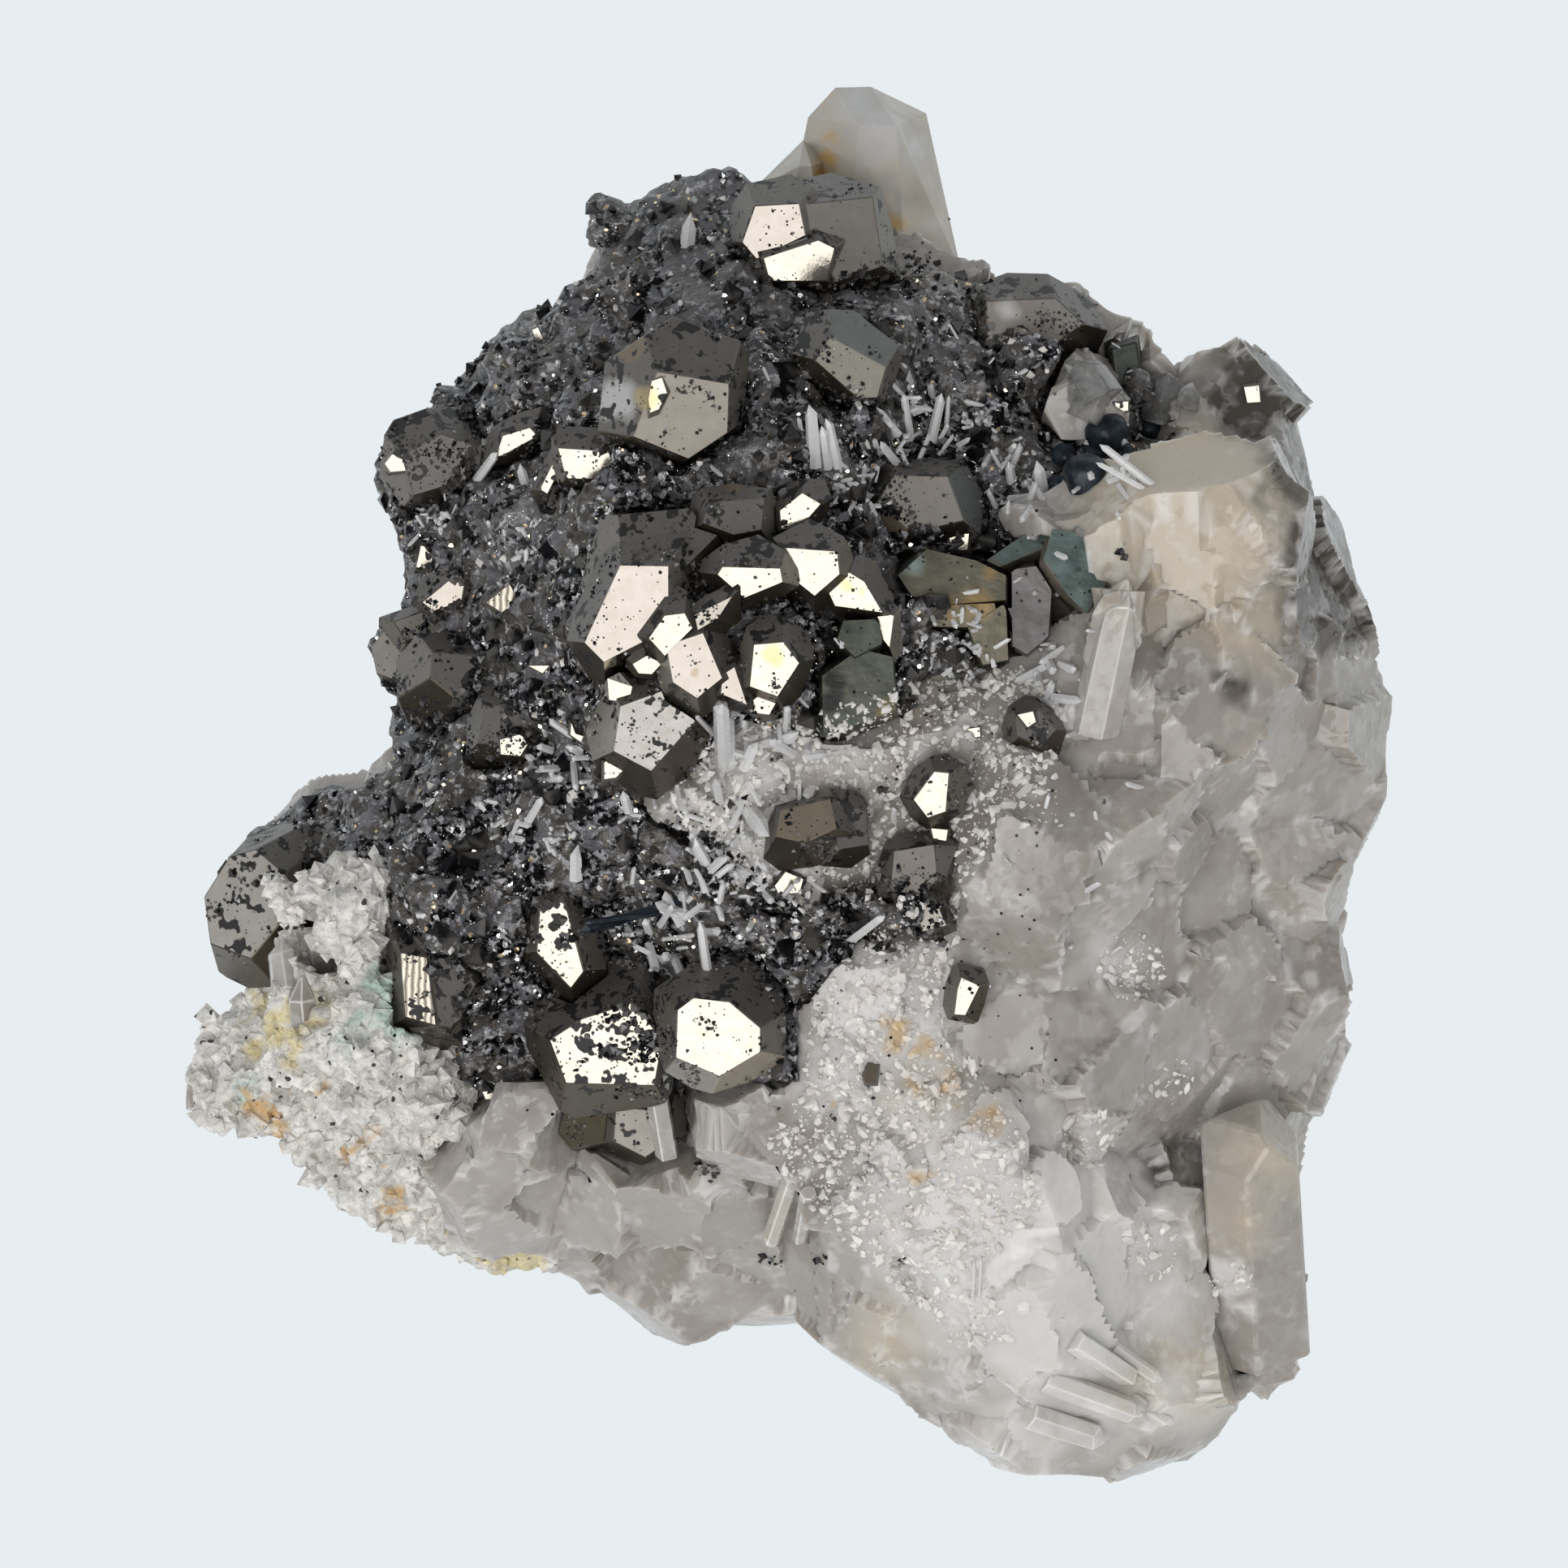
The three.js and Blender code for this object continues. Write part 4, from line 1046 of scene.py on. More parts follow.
# The quartz body, with blocky crystals that stand out of it and flat facets. The listed
# crystals give root and tip in the photo, radius and height of the tip in millimetres, tone
# and warmth.
quartzBody = {
    "voxel": 0.53,
    "smoothing": 2,
    "facets": (5.8, 1.6, 0.1),  # size, most movement, lean
    "crease": 28,
    "waves": [(9.0, 0.5), (1.6, 0.04)],
    "edge": 0.08,
    "tones": (0.1, 0.9),
    "climb": 4,
    "sinkListed": 1.5,
    "tint": {"reach": 0.7, "own": 0.6, "facet": 0.4, "patches": 6},
    "chips": {"patches": 1.5, "level": 0.2, "white": 0.8},
    "scattered": 120,
    "centre": (2, -5),
    "pull": (0.8, 0.5, 0.3),  # by the ground, away from the centre, up
    "tilt": (0, 35),
    "radius": (1.5, 4.0),
    "slender": (1.8, 2.6),  # length against radius
    "sunk": 0.66,  # share of the length
    "across": (880, 1700),
    "down": (740, 1700),
    "outline": [
        (1310, 920), (1430, 800), (1620, 760), (1700, 860), (1680, 1020), (1650, 1240),
        (1600, 1360), (1500, 1420), (1440, 1560), (1400, 1660), (1300, 1640), (1160, 1620),
        (1060, 1560), (960, 1560), (900, 1480), (1020, 1420), (1180, 1440), (1260, 1300),
        (1230, 1150), (1240, 1010),
    ],
    "crisp": [
        ((1310, 1702), (1410, 1740), 1.0, 1.5, 1.0, 0.0),
        ((1290, 1745), (1366, 1772), 1.1, 1.2, 1.0, 0.0),
        ((1335, 1655), (1402, 1700), 1.0, 1.0, 0.9, 0.0),
        ((1352, 862), (1382, 716), 1.6, 3.6, 1.0, 0.05),
        ((975, 1455), (948, 1536), 0.7, 1.6, 0.8, 0.3),
        ((995, 1470), (985, 1530), 0.6, 1.4, 0.9, 0.1),
        ((1380, 1664), (1430, 1700), 0.6, 1.3, 1.0, 0.0),
        ((1400, 1725), (1446, 1756), 0.6, 1.0, 0.9, 0.0),
        ((352, 1200), (345, 1155), 1.0, 1.2, 1.0, 0.0),
        ((400, 1190), (395, 1145), 1.1, 1.4, 1.0, 0.0),
        ((375, 1235), (372, 1200), 1.2, 1.2, 0.2, 0.0),
        ((820, 1400), (802, 1290), 0.9, 1.2, 0.9, 0.0),
    ],
    "listed": [
        ((1495, 1100), (1522, 1210), 1.7, 1.3, 1.0, 0.0),
        ((1040, 1500), (1132, 1612), 1.5, 1.2, 0.9, 0.0),
        ((1105, 1495), (1215, 1640), 1.8, 1.4, 1.0, 0.0),
        ((1180, 1540), (1275, 1720), 1.7, 1.2, 0.9, 0.0),
        ((1120, 1610), (1200, 1745), 1.6, 1.3, 1.0, 0.0),
        ((1150, 1690), (1236, 1815), 1.9, 1.4, 1.0, 0.0),
        ((1060, 1570), (1145, 1690), 1.3, 1.0, 0.8, 0.0),
        ((1300, 1560), (1370, 1680), 1.5, 1.2, 0.8, 0.0),
        ((1230, 1400), (1330, 1500), 2.0, 1.4, 0.9, 0.0),
        ((1600, 900), (1688, 880), 2.2, 1.4, 0.5, 0.1),
        ((1610, 1080), (1690, 1090), 2.4, 1.2, 0.4, 0.1),
        ((1580, 1250), (1650, 1290), 2.0, 1.2, 0.6, 0.0),
        ((1400, 1010), (1470, 960), 2.3, 2.2, 0.8, 0.1),
        ((1340, 1120), (1420, 1090), 2.0, 2.0, 0.9, 0.0),
        ((1420, 1200), (1480, 1280), 2.2, 2.0, 0.5, 0.0),
        ((1500, 935), (1530, 880), 1.6, 1.2, 0.8, 0.2),
        ((1480, 1010), (1622, 996), 2.6, 1.2, 0.6, 0.1),
        ((1440, 1600), (1350, 1480), 1.6, 1.4, 0.7, 0.1),
        ((1440, 1696), (1532, 1728), 1.8, 0.8, 0.5, 0.5),
        ((1090, 1470), (1200, 1560), 1.6, 1.0, 0.9, 0.0),
        ((900, 1360), (1060, 1498), 1.1, 1.6, 0.9, 0.0),
        ((890, 1600), (862, 1462), 0.9, 1.4, 0.9, 0.0),
        ((925, 1600), (905, 1440), 0.9, 1.2, 0.8, 0.0),
        ((590, 1440), (686, 1338), 1.7, 1.4, 0.8, 0.0),
        ((640, 1420), (600, 1372), 1.0, 1.2, 0.7, 0.0),
        ((1310, 1330), (1400, 1380), 1.2, 1.0, 0.9, 0.0),
        ((1590, 770), (1660, 810), 1.8, 1.0, 1.0, 0.0),
        ((1220, 940), (1250, 915), 0.9, 1.0, 1.0, 0.0),
        ((1520, 770), (1600, 745), 1.5, 1.0, 0.4, 0.4),
    ],
}


def growListedQuartz(heap, listed, tree, rng):
    limits = (-unlimited, quartzBody["climb"], quartzBody["sinkListed"])
    for root, tip, radius, rise, tone, warm in listed:
        finish = (tone, 0, warm, 1)
        growLeaning(heap, tree, root, tip, radius, rise, rng, *limits, finish=finish)


def growScatteredQuartz(heap, tree, rng):
    x, y = quartzBody["centre"]
    byGround, byCentre, up = quartzBody["pull"]
    grown = 0
    while grown < quartzBody["scattered"]:
        u, v = inRange(quartzBody, rng)
        if not insideOutline(u, v, quartzBody["outline"]):
            continue
        grown += 1
        place, normal = dropOnto(tree, u, v)
        outward = Vector((place.x - x * mm, place.y - y * mm, 0)).normalized()
        upright = (normal * byGround + outward * byCentre + Vector((0, 0, up))).normalized()
        axis = spunAxis(upright, rng, *quartzBody["tilt"])
        radius = rng.uniform(*quartzBody["radius"]) * mm
        length = radius * rng.uniform(*quartzBody["slender"])
        finish = (rng.uniform(*quartzBody["tones"]), 0, 0, 1)
        foot = place - axis * length * quartzBody["sunk"]
        growCrystal(heap, foot, axis, radius, length, rng, finish=finish)


def crystalMeshes(heap):
    for start in range(0, len(heap["verts"]), 13):
        mesh = bpy.data.meshes.new("crystal")
        mesh.from_pydata(heap["verts"][start:start + 13], [], crystalFaces)
        yield mesh


def joined(body, heap):
    crystals = bpy.data.collections.new("crystals")
    scene.collection.children.link(crystals)
    for mesh in crystalMeshes(heap):
        crystals.objects.link(bpy.data.objects.new("crystal", mesh))
    target = bpy.data.objects.new("body", body)
    scene.collection.objects.link(target)
    join = target.modifiers.new("join", "BOOLEAN")
    join.operation = "UNION"
    join.solver = "MANIFOLD"
    join.operand_type = "COLLECTION"
    join.collection = crystals
    addSkin(target, quartzBody["voxel"])
    soften = target.modifiers.new("soften", "SMOOTH")
    soften.factor = 0.5
    soften.iterations = quartzBody["smoothing"]
    mesh = modified(target)
    for holder in list(crystals.objects):
        bpy.data.objects.remove(holder)
    bpy.data.collections.remove(crystals)
    return mesh


# Tone of each crystal and facet, with white along some of the edges, partly chipped quartz and
# partly a painted highlight
def tintBody(mesh, heap, owner, rng):
    tint, chips = quartzBody["tint"], quartzBody["chips"]
    tree = BVHTree.FromPolygons(heap["verts"], heap["faces"])
    tones = mesh.color_attributes.new("finish", "FLOAT_COLOR", "POINT")
    values = np.zeros((len(mesh.vertices), 4))
    values[:, 3] = 1
    facetTones = [rng.uniform(0, 1) for _ in range(int(owner.max()) + 1)]
    for vertex in mesh.vertices:
        _, _, face, _ = tree.find_nearest(vertex.co, tint["reach"] * mm)
        if face is None:
            tone = 0.5 + 0.5 * noise.noise(vertex.co / mm / tint["patches"])
        else:
            tone, _, warm, _ = heap["finish"][face]
            values[vertex.index, 2] = warm
        facetTone = facetTones[owner[vertex.index]]
        values[vertex.index, 0] = tint["own"] * tone + tint["facet"] * facetTone
    for edge in mesh.edges:
        a, b = edge.vertices
        place = mesh.vertices[a].co
        if owner[a] != owner[b] and crowded(place, chips["patches"], chips["level"]):
            values[[a, b], 1] = chips["white"]
    tones.data.foreach_set("color", values.reshape(-1))


def makeQuartzBody():
    rng = random.Random(4)
    body = meshOfBmesh(welded(nodes["quartz_mass"].data), "body")
    tree = treeOf([body])
    heap = newHeap()
    growListedQuartz(heap, quartzBody["listed"], tree, rng)
    growScatteredQuartz(heap, tree, rng)
    mesh = joined(body, heap)
    owner = cutFacets(mesh, *quartzBody["facets"], rng)
    roughen(mesh, quartzBody["waves"])
    tintBody(mesh, heap, owner, rng)
    mesh.set_sharp_from_angle(angle=math.radians(quartzBody["crease"]))
    piece = addPiece("quartzBody", mesh, materials["milky"], smooth=True)
    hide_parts("quartz_mass")
    return mesh


def makeQuartzCrystals():
    rng = random.Random(44)
    heap = newHeap()
    growListedQuartz(heap, quartzBody["crisp"], surface, rng)
    mesh = meshOfHeap(heap, quartzBody["edge"], chippedAndHighlit=True)
    addPiece("quartzCrystals", mesh, materials["milky"])


# The crust, with a round lump that reaches up to what is nearest to a point over it
darkCrust = {
    "voxel": 0.45,
    "waves": [(5.0, 1.0), (2.2, 0.8), (1.0, 0.5)],
    "lump": {"at": (743, 274), "radius": 1.7, "from": 30},
}


def withLump(source):
    lump = darkCrust["lump"]
    x, y = atPhoto(*lump["at"])
    radius = lump["radius"] * mm
    bm = bmesh.new()
    bm.from_mesh(source)
    near, _, _, _ = BVHTree.FromBMesh(bm).find_nearest(Vector((x, y, lump["from"] * mm)))
    made = bmesh.ops.create_icosphere(bm, subdivisions=3, radius=radius)
    for vertex in made["verts"]:
        vertex.co += Vector((x, y, near.z - radius))
    return meshOfBmesh(bm, "crust")


def makeDarkCrust():
    mesh = remeshed(withLump(nodes["dark_sulfide_crust"].data), darkCrust["voxel"])
    roughen(mesh, darkCrust["waves"])
    piece = addPiece("darkCrust", mesh, materials["sulfide"], smooth=True)
    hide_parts("dark_sulfide_crust")
    return mesh


alteredRock = {
    "voxel": 0.4,
    "waves": [(4.5, 1.0), (2.0, 1.1), (0.9, 0.6)],
    "grains": 3200,
    "grainSizes": (0.12, 1.0),  # least, and what chance adds to it
}


def makeAlteredRock():
    mesh = remeshed(nodes["altered_rock"].data, alteredRock["voxel"])
    roughen(mesh, alteredRock["waves"])
    piece = addPiece("alteredRock", mesh, materials["rock"], smooth=True)
    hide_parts("altered_rock")
    return mesh


quartzMesh = makeQuartzBody()
crustMesh = makeDarkCrust()
rockMesh = makeAlteredRock()
print("body: done")


# Pyrite: each finish gives colour, black coat, pits, roughness and how metallic it looks. Beside
# real tarnish, coat and pits, some colours are painted light: pale and beige are lighter faces as
# painted highlight, and dark, under, shade and side are darker faces as painted shade.
pyriteEdge = 0.07
pyriteFinishAndPaintedLight = {
    "bright": ((0.49, 0.455, 0.395), 0.0, 0.35, 0.13, 1),
    "pitted": ((0.49, 0.455, 0.395), 0.2, 0.7, 0.15, 1),
    "coated": ((0.49, 0.455, 0.395), 0.38, 0.7, 0.15, 1),
    "striped": ((0.47, 0.43, 0.365), 0.2, 0.5, 0.16, 1),
    "pink": ((0.375, 0.34, 0.31), 0.0, 0.35, 0.2, 1),
    "grey": ((0.32, 0.305, 0.29), 0.22, 0.6, 0.25, 1),
    "greyLeft": ((0.42, 0.395, 0.365), 0.3, 0.6, 0.35, 0.35),
    "greyLow": ((0.4, 0.37, 0.33), 0.15, 0.4, 0.35, 0.2),
    # beige: in part a painted highlight, a light and barely metallic colour for faces that catch
    # the light
    "beige": ((0.5, 0.455, 0.395), 0.0, 0.25, 0.3, 0.15),
    "greenish": ((0.31, 0.3, 0.25), 0.0, 0.15, 0.3, 0.25),
    "taupe": ((0.31, 0.285, 0.26), 0.0, 0.3, 0.4, 0.25),
    "teal": ((0.19, 0.205, 0.195), 0.0, 0.3, 0.4, 0.25),
    # shade: painted shade, a near-black colour for a face that lies in shade
    "shade": ((0.07, 0.058, 0.04), 0.1, 0.4, 0.4, 0.9),
    "gold": ((0.4, 0.355, 0.28), 0.0, 0.4, 0.3, 0.5),
    # pale: a painted highlight, a bright and barely metallic colour for a face that shines
    "pale": ((0.78, 0.71, 0.62), 0.0, 0.2, 0.3, 0.15),
    "brown": ((0.22, 0.18, 0.135), 0.1, 0.6, 0.45, 0.3),
    # dark and under: painted shade and a painted dark reflection on faces that look away from the
    # light
    "dark": ((0.155, 0.143, 0.132), 0.3, 0.7, 0.42, 0.25),
    "under": ((0.12, 0.1, 0.075), 0.15, 0.4, 0.35, 0.8),
    "flank": ((0.34, 0.315, 0.275), 0.0, 0.4, 0.3, 0.5),
    # side: painted shade on faces that look sideways
    "side": ((0.18, 0.163, 0.143), 0.2, 0.6, 0.4, 0.3),
}

# Which faces have which finish, by a place inside each face. Other faces go by the way they lean,
# as painted shade: those that lean towards -y are darker under faces, and those that lean towards
# +y or look straight up are dark. Of the rest, those in the cluster that look sideways are
# flanks, and the others are darker sides.
pyriteFaces = {
    "bright": [
        (989, 333), (636, 547), (981, 638), (830, 780), (924, 717), (1000, 703), (1047, 735),
        (1090, 777), (952, 825), (800, 823), (765, 853), (940, 870), (1148, 980), (1185, 1225),
        (636, 922), (887, 1265),
    ],
    "gold": [(905, 1330), (960, 1300)],
    # pale, and beige below, are lighter faces as painted highlight
    "pale": [(877, 757)],
    "pitted": [(680, 592), (730, 576)],
    "striped": [(518, 1215)],
    "coated": [(692, 1160), (745, 1290)],
    "pink": [(951, 285), (783, 765), (858, 825), (902, 848), (550, 735)],
    "grey": [(804, 898)],
    "greyLeft": [(305, 1108)],
    "greyLow": [(794, 1392)],
    "beige": [(848, 525), (1140, 1120)],
    "greenish": [(1050, 465)],
    "taupe": [
        (1040, 295), (1055, 330), (1131, 621), (1120, 1072), (1271, 399), (512, 768), (476, 804),
        (880, 1325),
    ],
    "brown": [(1085, 650), (995, 1012)],
    "teal": [(1070, 425), (1180, 620)],
    # dark, under and shade below are darker faces as painted shade
    "dark": [
        (850, 440), (770, 500), (906, 643), (810, 665), (543, 570), (567, 836), (630, 896),
        (1045, 1018), (1270, 898),
    ],
    "under": [(765, 1349)],
    "shade": [(740, 1395)],
}
pyriteCluster = [(730, 700), (880, 690), (1110, 680), (1120, 820), (1000, 910), (740, 900)]


def finishNear(corners):
    for name, places in pyriteFaces.items():
        if any(insideOutline(u, v, corners) for u, v in places):
            return name
    return None


# A colour by the way the face leans: painted shade on faces that look away from the light
def paintedShadeByLean(face):
    lean = face.normal
    if lean.y < -0.35:
        return "under"
    if lean.y > 0.2 or lean.z > 0.8:
        return "dark"
    inCluster = insideOutline(*toPhoto(face.calc_center_median()), pyriteCluster)
    return "flank" if inCluster else "side"


def layersOf(name):
    colour, coat, pits, rough, metal = pyriteFinishAndPaintedLight[name]
    stripes = 1.0 if name == "striped" else 0.0
    return [(*colour, coat), (pits, rough, stripes, metal)]


# Each face's colour and wear, with painted highlight or painted shade where its finish holds them
def pyriteFaceFinishAndPaintedLight(face):
    name = None
    if face.normal.z > 0.3:
        name = finishNear([toPhoto(vertex.co) for vertex in face.verts])
    return layersOf(name or paintedShadeByLean(face))


def makePyrites():
    for node in sorted(n for n in nodes if n.startswith("pyrite")):
        mesh = wornMesh(nodes[node].data, pyriteEdge, ["finish", "wear"], pyriteFaceFinishAndPaintedLight)
        piece = addPiece(node + "_crystal", mesh, materials["pyrite"])
        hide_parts(node)


# Tarnished plates and blocks, with the colour of each one's top and sides
plateEdge = 0.12
plates = {
    "tarnished_block": ((0.15, 0.14, 0.10), (0.07, 0.055, 0.035)),
    "tarnished_plate": ((0.15, 0.21, 0.20), (0.34, 0.30, 0.24)),
    "tarnished_green": ((0.115, 0.13, 0.105), (0.06, 0.065, 0.05)),
    "grey_block": ((0.23, 0.21, 0.21), (0.15, 0.13, 0.12)),
    "green_bar": ((0.09, 0.105, 0.09), (0.05, 0.06, 0.05)),
}


def makePlates():
    for node, (top, side) in plates.items():

        def colourOf(face):
            return [(*(top if face.normal.z > 0.8 else side), 1)]

        mesh = wornMesh(nodes[node].data, plateEdge, ["finish"], colourOf)
        piece = addPiece(node + "_crystal", mesh, materials["tarnish"])
        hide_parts(node)


# The two large crystals that stand apart, by node and material
points = {"edge": 0.2, "kinds": {"quartz_point_top": "point", "quartz_prism_right": "milky"}}


def makePoints():
    for node, kind in points["kinds"].items():
        mesh = wornMesh(nodes[node].data, points["edge"], ["finish"], lambda face: [plain])
        piece = addPiece(node + "_crystal", mesh, materials[kind])
        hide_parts(node)


makePyrites()
makePlates()
makePoints()
print("crystals: done")

# What rays from above find: everything so far, or one kind of it
crystalMeshesSoFar = [o.data for o in scene.objects if o.name.endswith("_crystal")]
pyriteMeshes = [mesh for mesh in crystalMeshesSoFar if mesh.name.startswith("pyrite")]
surface = treeOf([quartzMesh, crustMesh, rockMesh] + crystalMeshesSoFar)
crustOnly = treeOf([crustMesh])
rockOnly = treeOf([rockMesh])
pyritesOnly = treeOf(pyriteMeshes)
pyriteShine = [
    mesh.color_attributes["wear"].data[polygon.loop_start].color[3]
    for mesh in pyriteMeshes
    for polygon in mesh.polygons
]


# Clear, gem-like crystals at the upper right: root, tip, radius and rise of the tip
gems = {
    "edge": 0.06,
    "climb": 3,
    "point": 0.8,
    "listed": [
        ((1350, 500), (1318, 448), 2.1, 3.2),
        ((1330, 520), (1352, 470), 1.3, 2.4),
        ((1436, 510), (1432, 456), 1.6, 2.6),
        ((1460, 505), (1468, 470), 0.9, 2.0),
        ((1335, 350), (1332, 338), 0.8, 1.0),
    ],
}


def makeGems():
    rng = random.Random(45)
    heap = newHeap()
    limits = (-unlimited, gems["climb"], 0)
    for each in gems["listed"]:
        growLeaning(heap, surface, *each, rng, *limits, point=gems["point"])
    addPiece("clearGems", meshOfHeap(heap, gems["edge"]), materials["gem"])


# Needles and blades of quartz. The listed ones give root, tip, radius and rise of the tip in
# millimetres; the clusters give centre, reach in pixels, how many, lengths and radii.
needles = {
    "listed": [
        ((893, 945), (890, 866), 0.62, 2.5), ((902, 940), (900, 885), 0.4, 2.2),
        ((880, 905), (860, 884), 0.18, 1.5), ((968, 898), (970, 872), 0.3, 1.2),
        ((950, 915), (985, 905), 0.5, 1.0), ((872, 1062), (855, 1032), 0.4, 1.5),
        ((845, 1102), (898, 1052), 0.35, 1.8), ((852, 1106), (905, 1062), 0.25, 1.8),
        ((872, 1190), (864, 1132), 0.35, 1.8), ((820, 1155), (858, 1150), 0.16, 1.2),
        ((820, 1168), (850, 1165), 0.14, 1.0), ((1050, 1155), (1088, 1125), 0.35, 1.2),
        ((775, 995), (770, 975), 0.35, 1.0), ((985, 985), (985, 965), 0.14, 0.8),
        ((914, 1030), (915, 1010), 0.14, 0.8), ((925, 1000), (950, 1028), 0.7, 0.8),
        ((1003, 573), (998, 505), 0.45, 1.5), ((1018, 575), (1012, 530), 0.4, 1.5),
        ((1030, 575), (1018, 520), 0.35, 1.2), ((1103, 535), (1078, 505), 0.3, 1.8),
        ((1120, 540), (1112, 490), 0.3, 2.0), ((1148, 540), (1160, 487), 0.35, 2.0),
        ((1165, 530), (1168, 490), 0.15, 1.8), ((1085, 575), (1076, 545), 0.25, 1.2),
        ((1105, 575), (1082, 548), 0.35, 1.2), ((1180, 550), (1195, 542), 0.2, 1.0),
        ((1245, 595), (1240, 570), 0.35, 1.2), ((1225, 625), (1215, 605), 0.25, 1.0),
        ((1283, 610), (1275, 572), 0.45, 1.5), ((1412, 600), (1350, 552), 0.28, 1.8),
        ((1400, 605), (1345, 575), 0.2, 1.6), ((1196, 1618), (1198, 1548), 0.13, 1.5),
        ((1204, 1590), (1206, 1545), 0.12, 1.5), ((655, 1010), (672, 982), 0.3, 1.0),
        ((712, 1075), (712, 1040), 0.45, 1.0), ((845, 300), (850, 262), 0.6, 1.0),
        ((590, 590), (614, 560), 0.4, 1.2), ((648, 596), (642, 574), 0.35, 1.0),
    ],
    "clusters": [
        ((885, 925), 60, 16, (1.2, 3.0), (0.15, 0.4)),
        ((960, 950), 70, 12, (1.0, 2.5), (0.15, 0.45)),
        ((860, 990), 60, 12, (1.0, 2.8), (0.15, 0.4)),
        ((1110, 530), 60, 22, (1.2, 3.0), (0.12, 0.3)),
        ((1250, 590), 45, 16, (1.0, 2.4), (0.12, 0.3)),
        ((1360, 575), 40, 14, (1.2, 2.8), (0.15, 0.35)),
        ((835, 1160), 45, 14, (1.5, 3.5), (0.15, 0.4)),
        ((690, 930), 40, 14, (1.0, 2.4), (0.12, 0.3)),
        ((1180, 800), 50, 60, (0.5, 1.4), (0.1, 0.25)),
        ((1290, 830), 40, 12, (1.0, 2.4), (0.2, 0.4)),
        ((535, 640), 22, 26, (0.5, 1.2), (0.1, 0.25)),
        ((1200, 525), 20, 16, (0.5, 1.2), (0.1, 0.2)),
        ((1060, 605), 34, 34, (0.5, 1.3), (0.1, 0.22)),
        ((770, 495), 14, 8, (0.4, 0.8), (0.08, 0.15)),
        ((660, 410), 12, 8, (0.5, 1.0), (0.1, 0.25)),
        ((650, 665), 34, 14, (0.5, 1.0), (0.1, 0.25)),
        ((692, 1032), 18, 14, (0.5, 1.0), (0.1, 0.2)),
        ((900, 1072), 55, 40, (0.8, 2.4), (0.1, 0.35)),
        ((965, 1100), 50, 34, (0.6, 2.0), (0.1, 0.3)),
        ((620, 1010), 40, 14, (0.6, 1.4), (0.1, 0.25)),
    ],
    "clusterTilts": (15, 80),
    "sunk": 0.4,
    "scatter": {
        "count": 260, "across": (450, 1400), "down": (300, 1250),
        "lengths": (0.5, 1.5), "radii": (0.08, 0.24), "tilts": (10, 80),
    },
}


def growNeedle(heap, listed, rng):
    shape = {"point": 1.6, "taper": 0.88, "finish": (rng.uniform(0.6, 1.0), 0, 0, 1)}
    growLeaning(heap, surface, *listed, rng, 0, unlimited, 1, **shape)


# The ground at a place, unless a pyrite covers it or is level with it
coverWithin = 0.05


def bareGround(u, v):
    place, normal = dropOnto(surface, u, v)
    crystal, _ = dropOnto(pyritesOnly, u, v)
    if place is None or (crystal is not None and crystal.z > place.z - coverWithin * mm):
        return None, None
    return place, normal


def growOnSurface(heap, u, v, lengths, radii, tilts, rng):
    place, normal = bareGround(u, v)
    if place is None:
        return
    axis = spunAxis((normal + Vector((0, 0, 1))).normalized(), rng, *tilts)
    radius = rng.uniform(*radii) * mm
    length = rng.uniform(*lengths) * mm
    finish = (rng.uniform(0.3, 1.0), 0, 0, 1)
    foot = place - axis * needles["sunk"] * mm
    growCrystal(heap, foot, axis, radius, length, rng, 1.0, finish=finish)


def makeNeedles():
    rng = random.Random(12)
    heap = newHeap()
    for listed in needles["listed"]:
        growNeedle(heap, listed, rng)
    for (u, v), reach, count, lengths, radii in needles["clusters"]:
        for _ in range(count):
            place = around(u, v, reach * math.sqrt(rng.random()), rng)
            growOnSurface(heap, *place, lengths, radii, needles["clusterTilts"], rng)
    scatter = needles["scatter"]
    for _ in range(scatter["count"]):
        place = inRange(scatter, rng)
        growOnSurface(heap, *place, scatter["lengths"], scatter["radii"], scatter["tilts"], rng)
    addPiece("quartzNeedles", meshOfHeap(heap), materials["needle"])


# A long dark needle over the hollow, with a thinner one along it
darkNeedle = [
    ((832, 1112), (716, 1146), 0.42, 1.6),
    ((826, 1122), (722, 1136), 0.25, 2.2),
]


def makeDarkNeedle():
    rng = random.Random(13)
    heap = newHeap()
    for listed in darkNeedle:
        growNeedle(heap, listed, rng)
    addPiece("darkNeedle", meshOfHeap(heap), materials["blueBlack"])


# The druse: many tiny crystals on the quartz, denser in some clumps
druse = {
    "outline": [
        (1000, 880), (1140, 840), (1260, 820), (1310, 860), (1300, 930), (1230, 1000),
        (1180, 1120), (1160, 1260), (1260, 1400), (1280, 1480), (1210, 1560), (1250, 1640),
        (1180, 1660), (1080, 1560), (1010, 1500), (940, 1400), (990, 1340), (1000, 1230),
        (1110, 1110), (900, 1090), (800, 960), (880, 900),
    ],
    "count": 5600,
    "across": (780, 1350),
    "down": (800, 1680),
    "tilt": (10, 70),
    "radius": (0.07, 0.34),  # least, and what chance adds to it
    "slender": (1.8, 3.6),
    "sunk": 0.55,
    "clumps": [  # place, reach in pixels, how many
        ((1390, 1190), 42, 110), ((1340, 1400), 36, 80), ((1270, 988), 30, 60),
        ((1240, 925), 34, 60), ((1515, 1575), 26, 50), ((1440, 1330), 30, 40),
        ((1420, 1540), 34, 60), ((350, 1150), 36, 60), ((1660, 795), 22, 40),
    ],
}


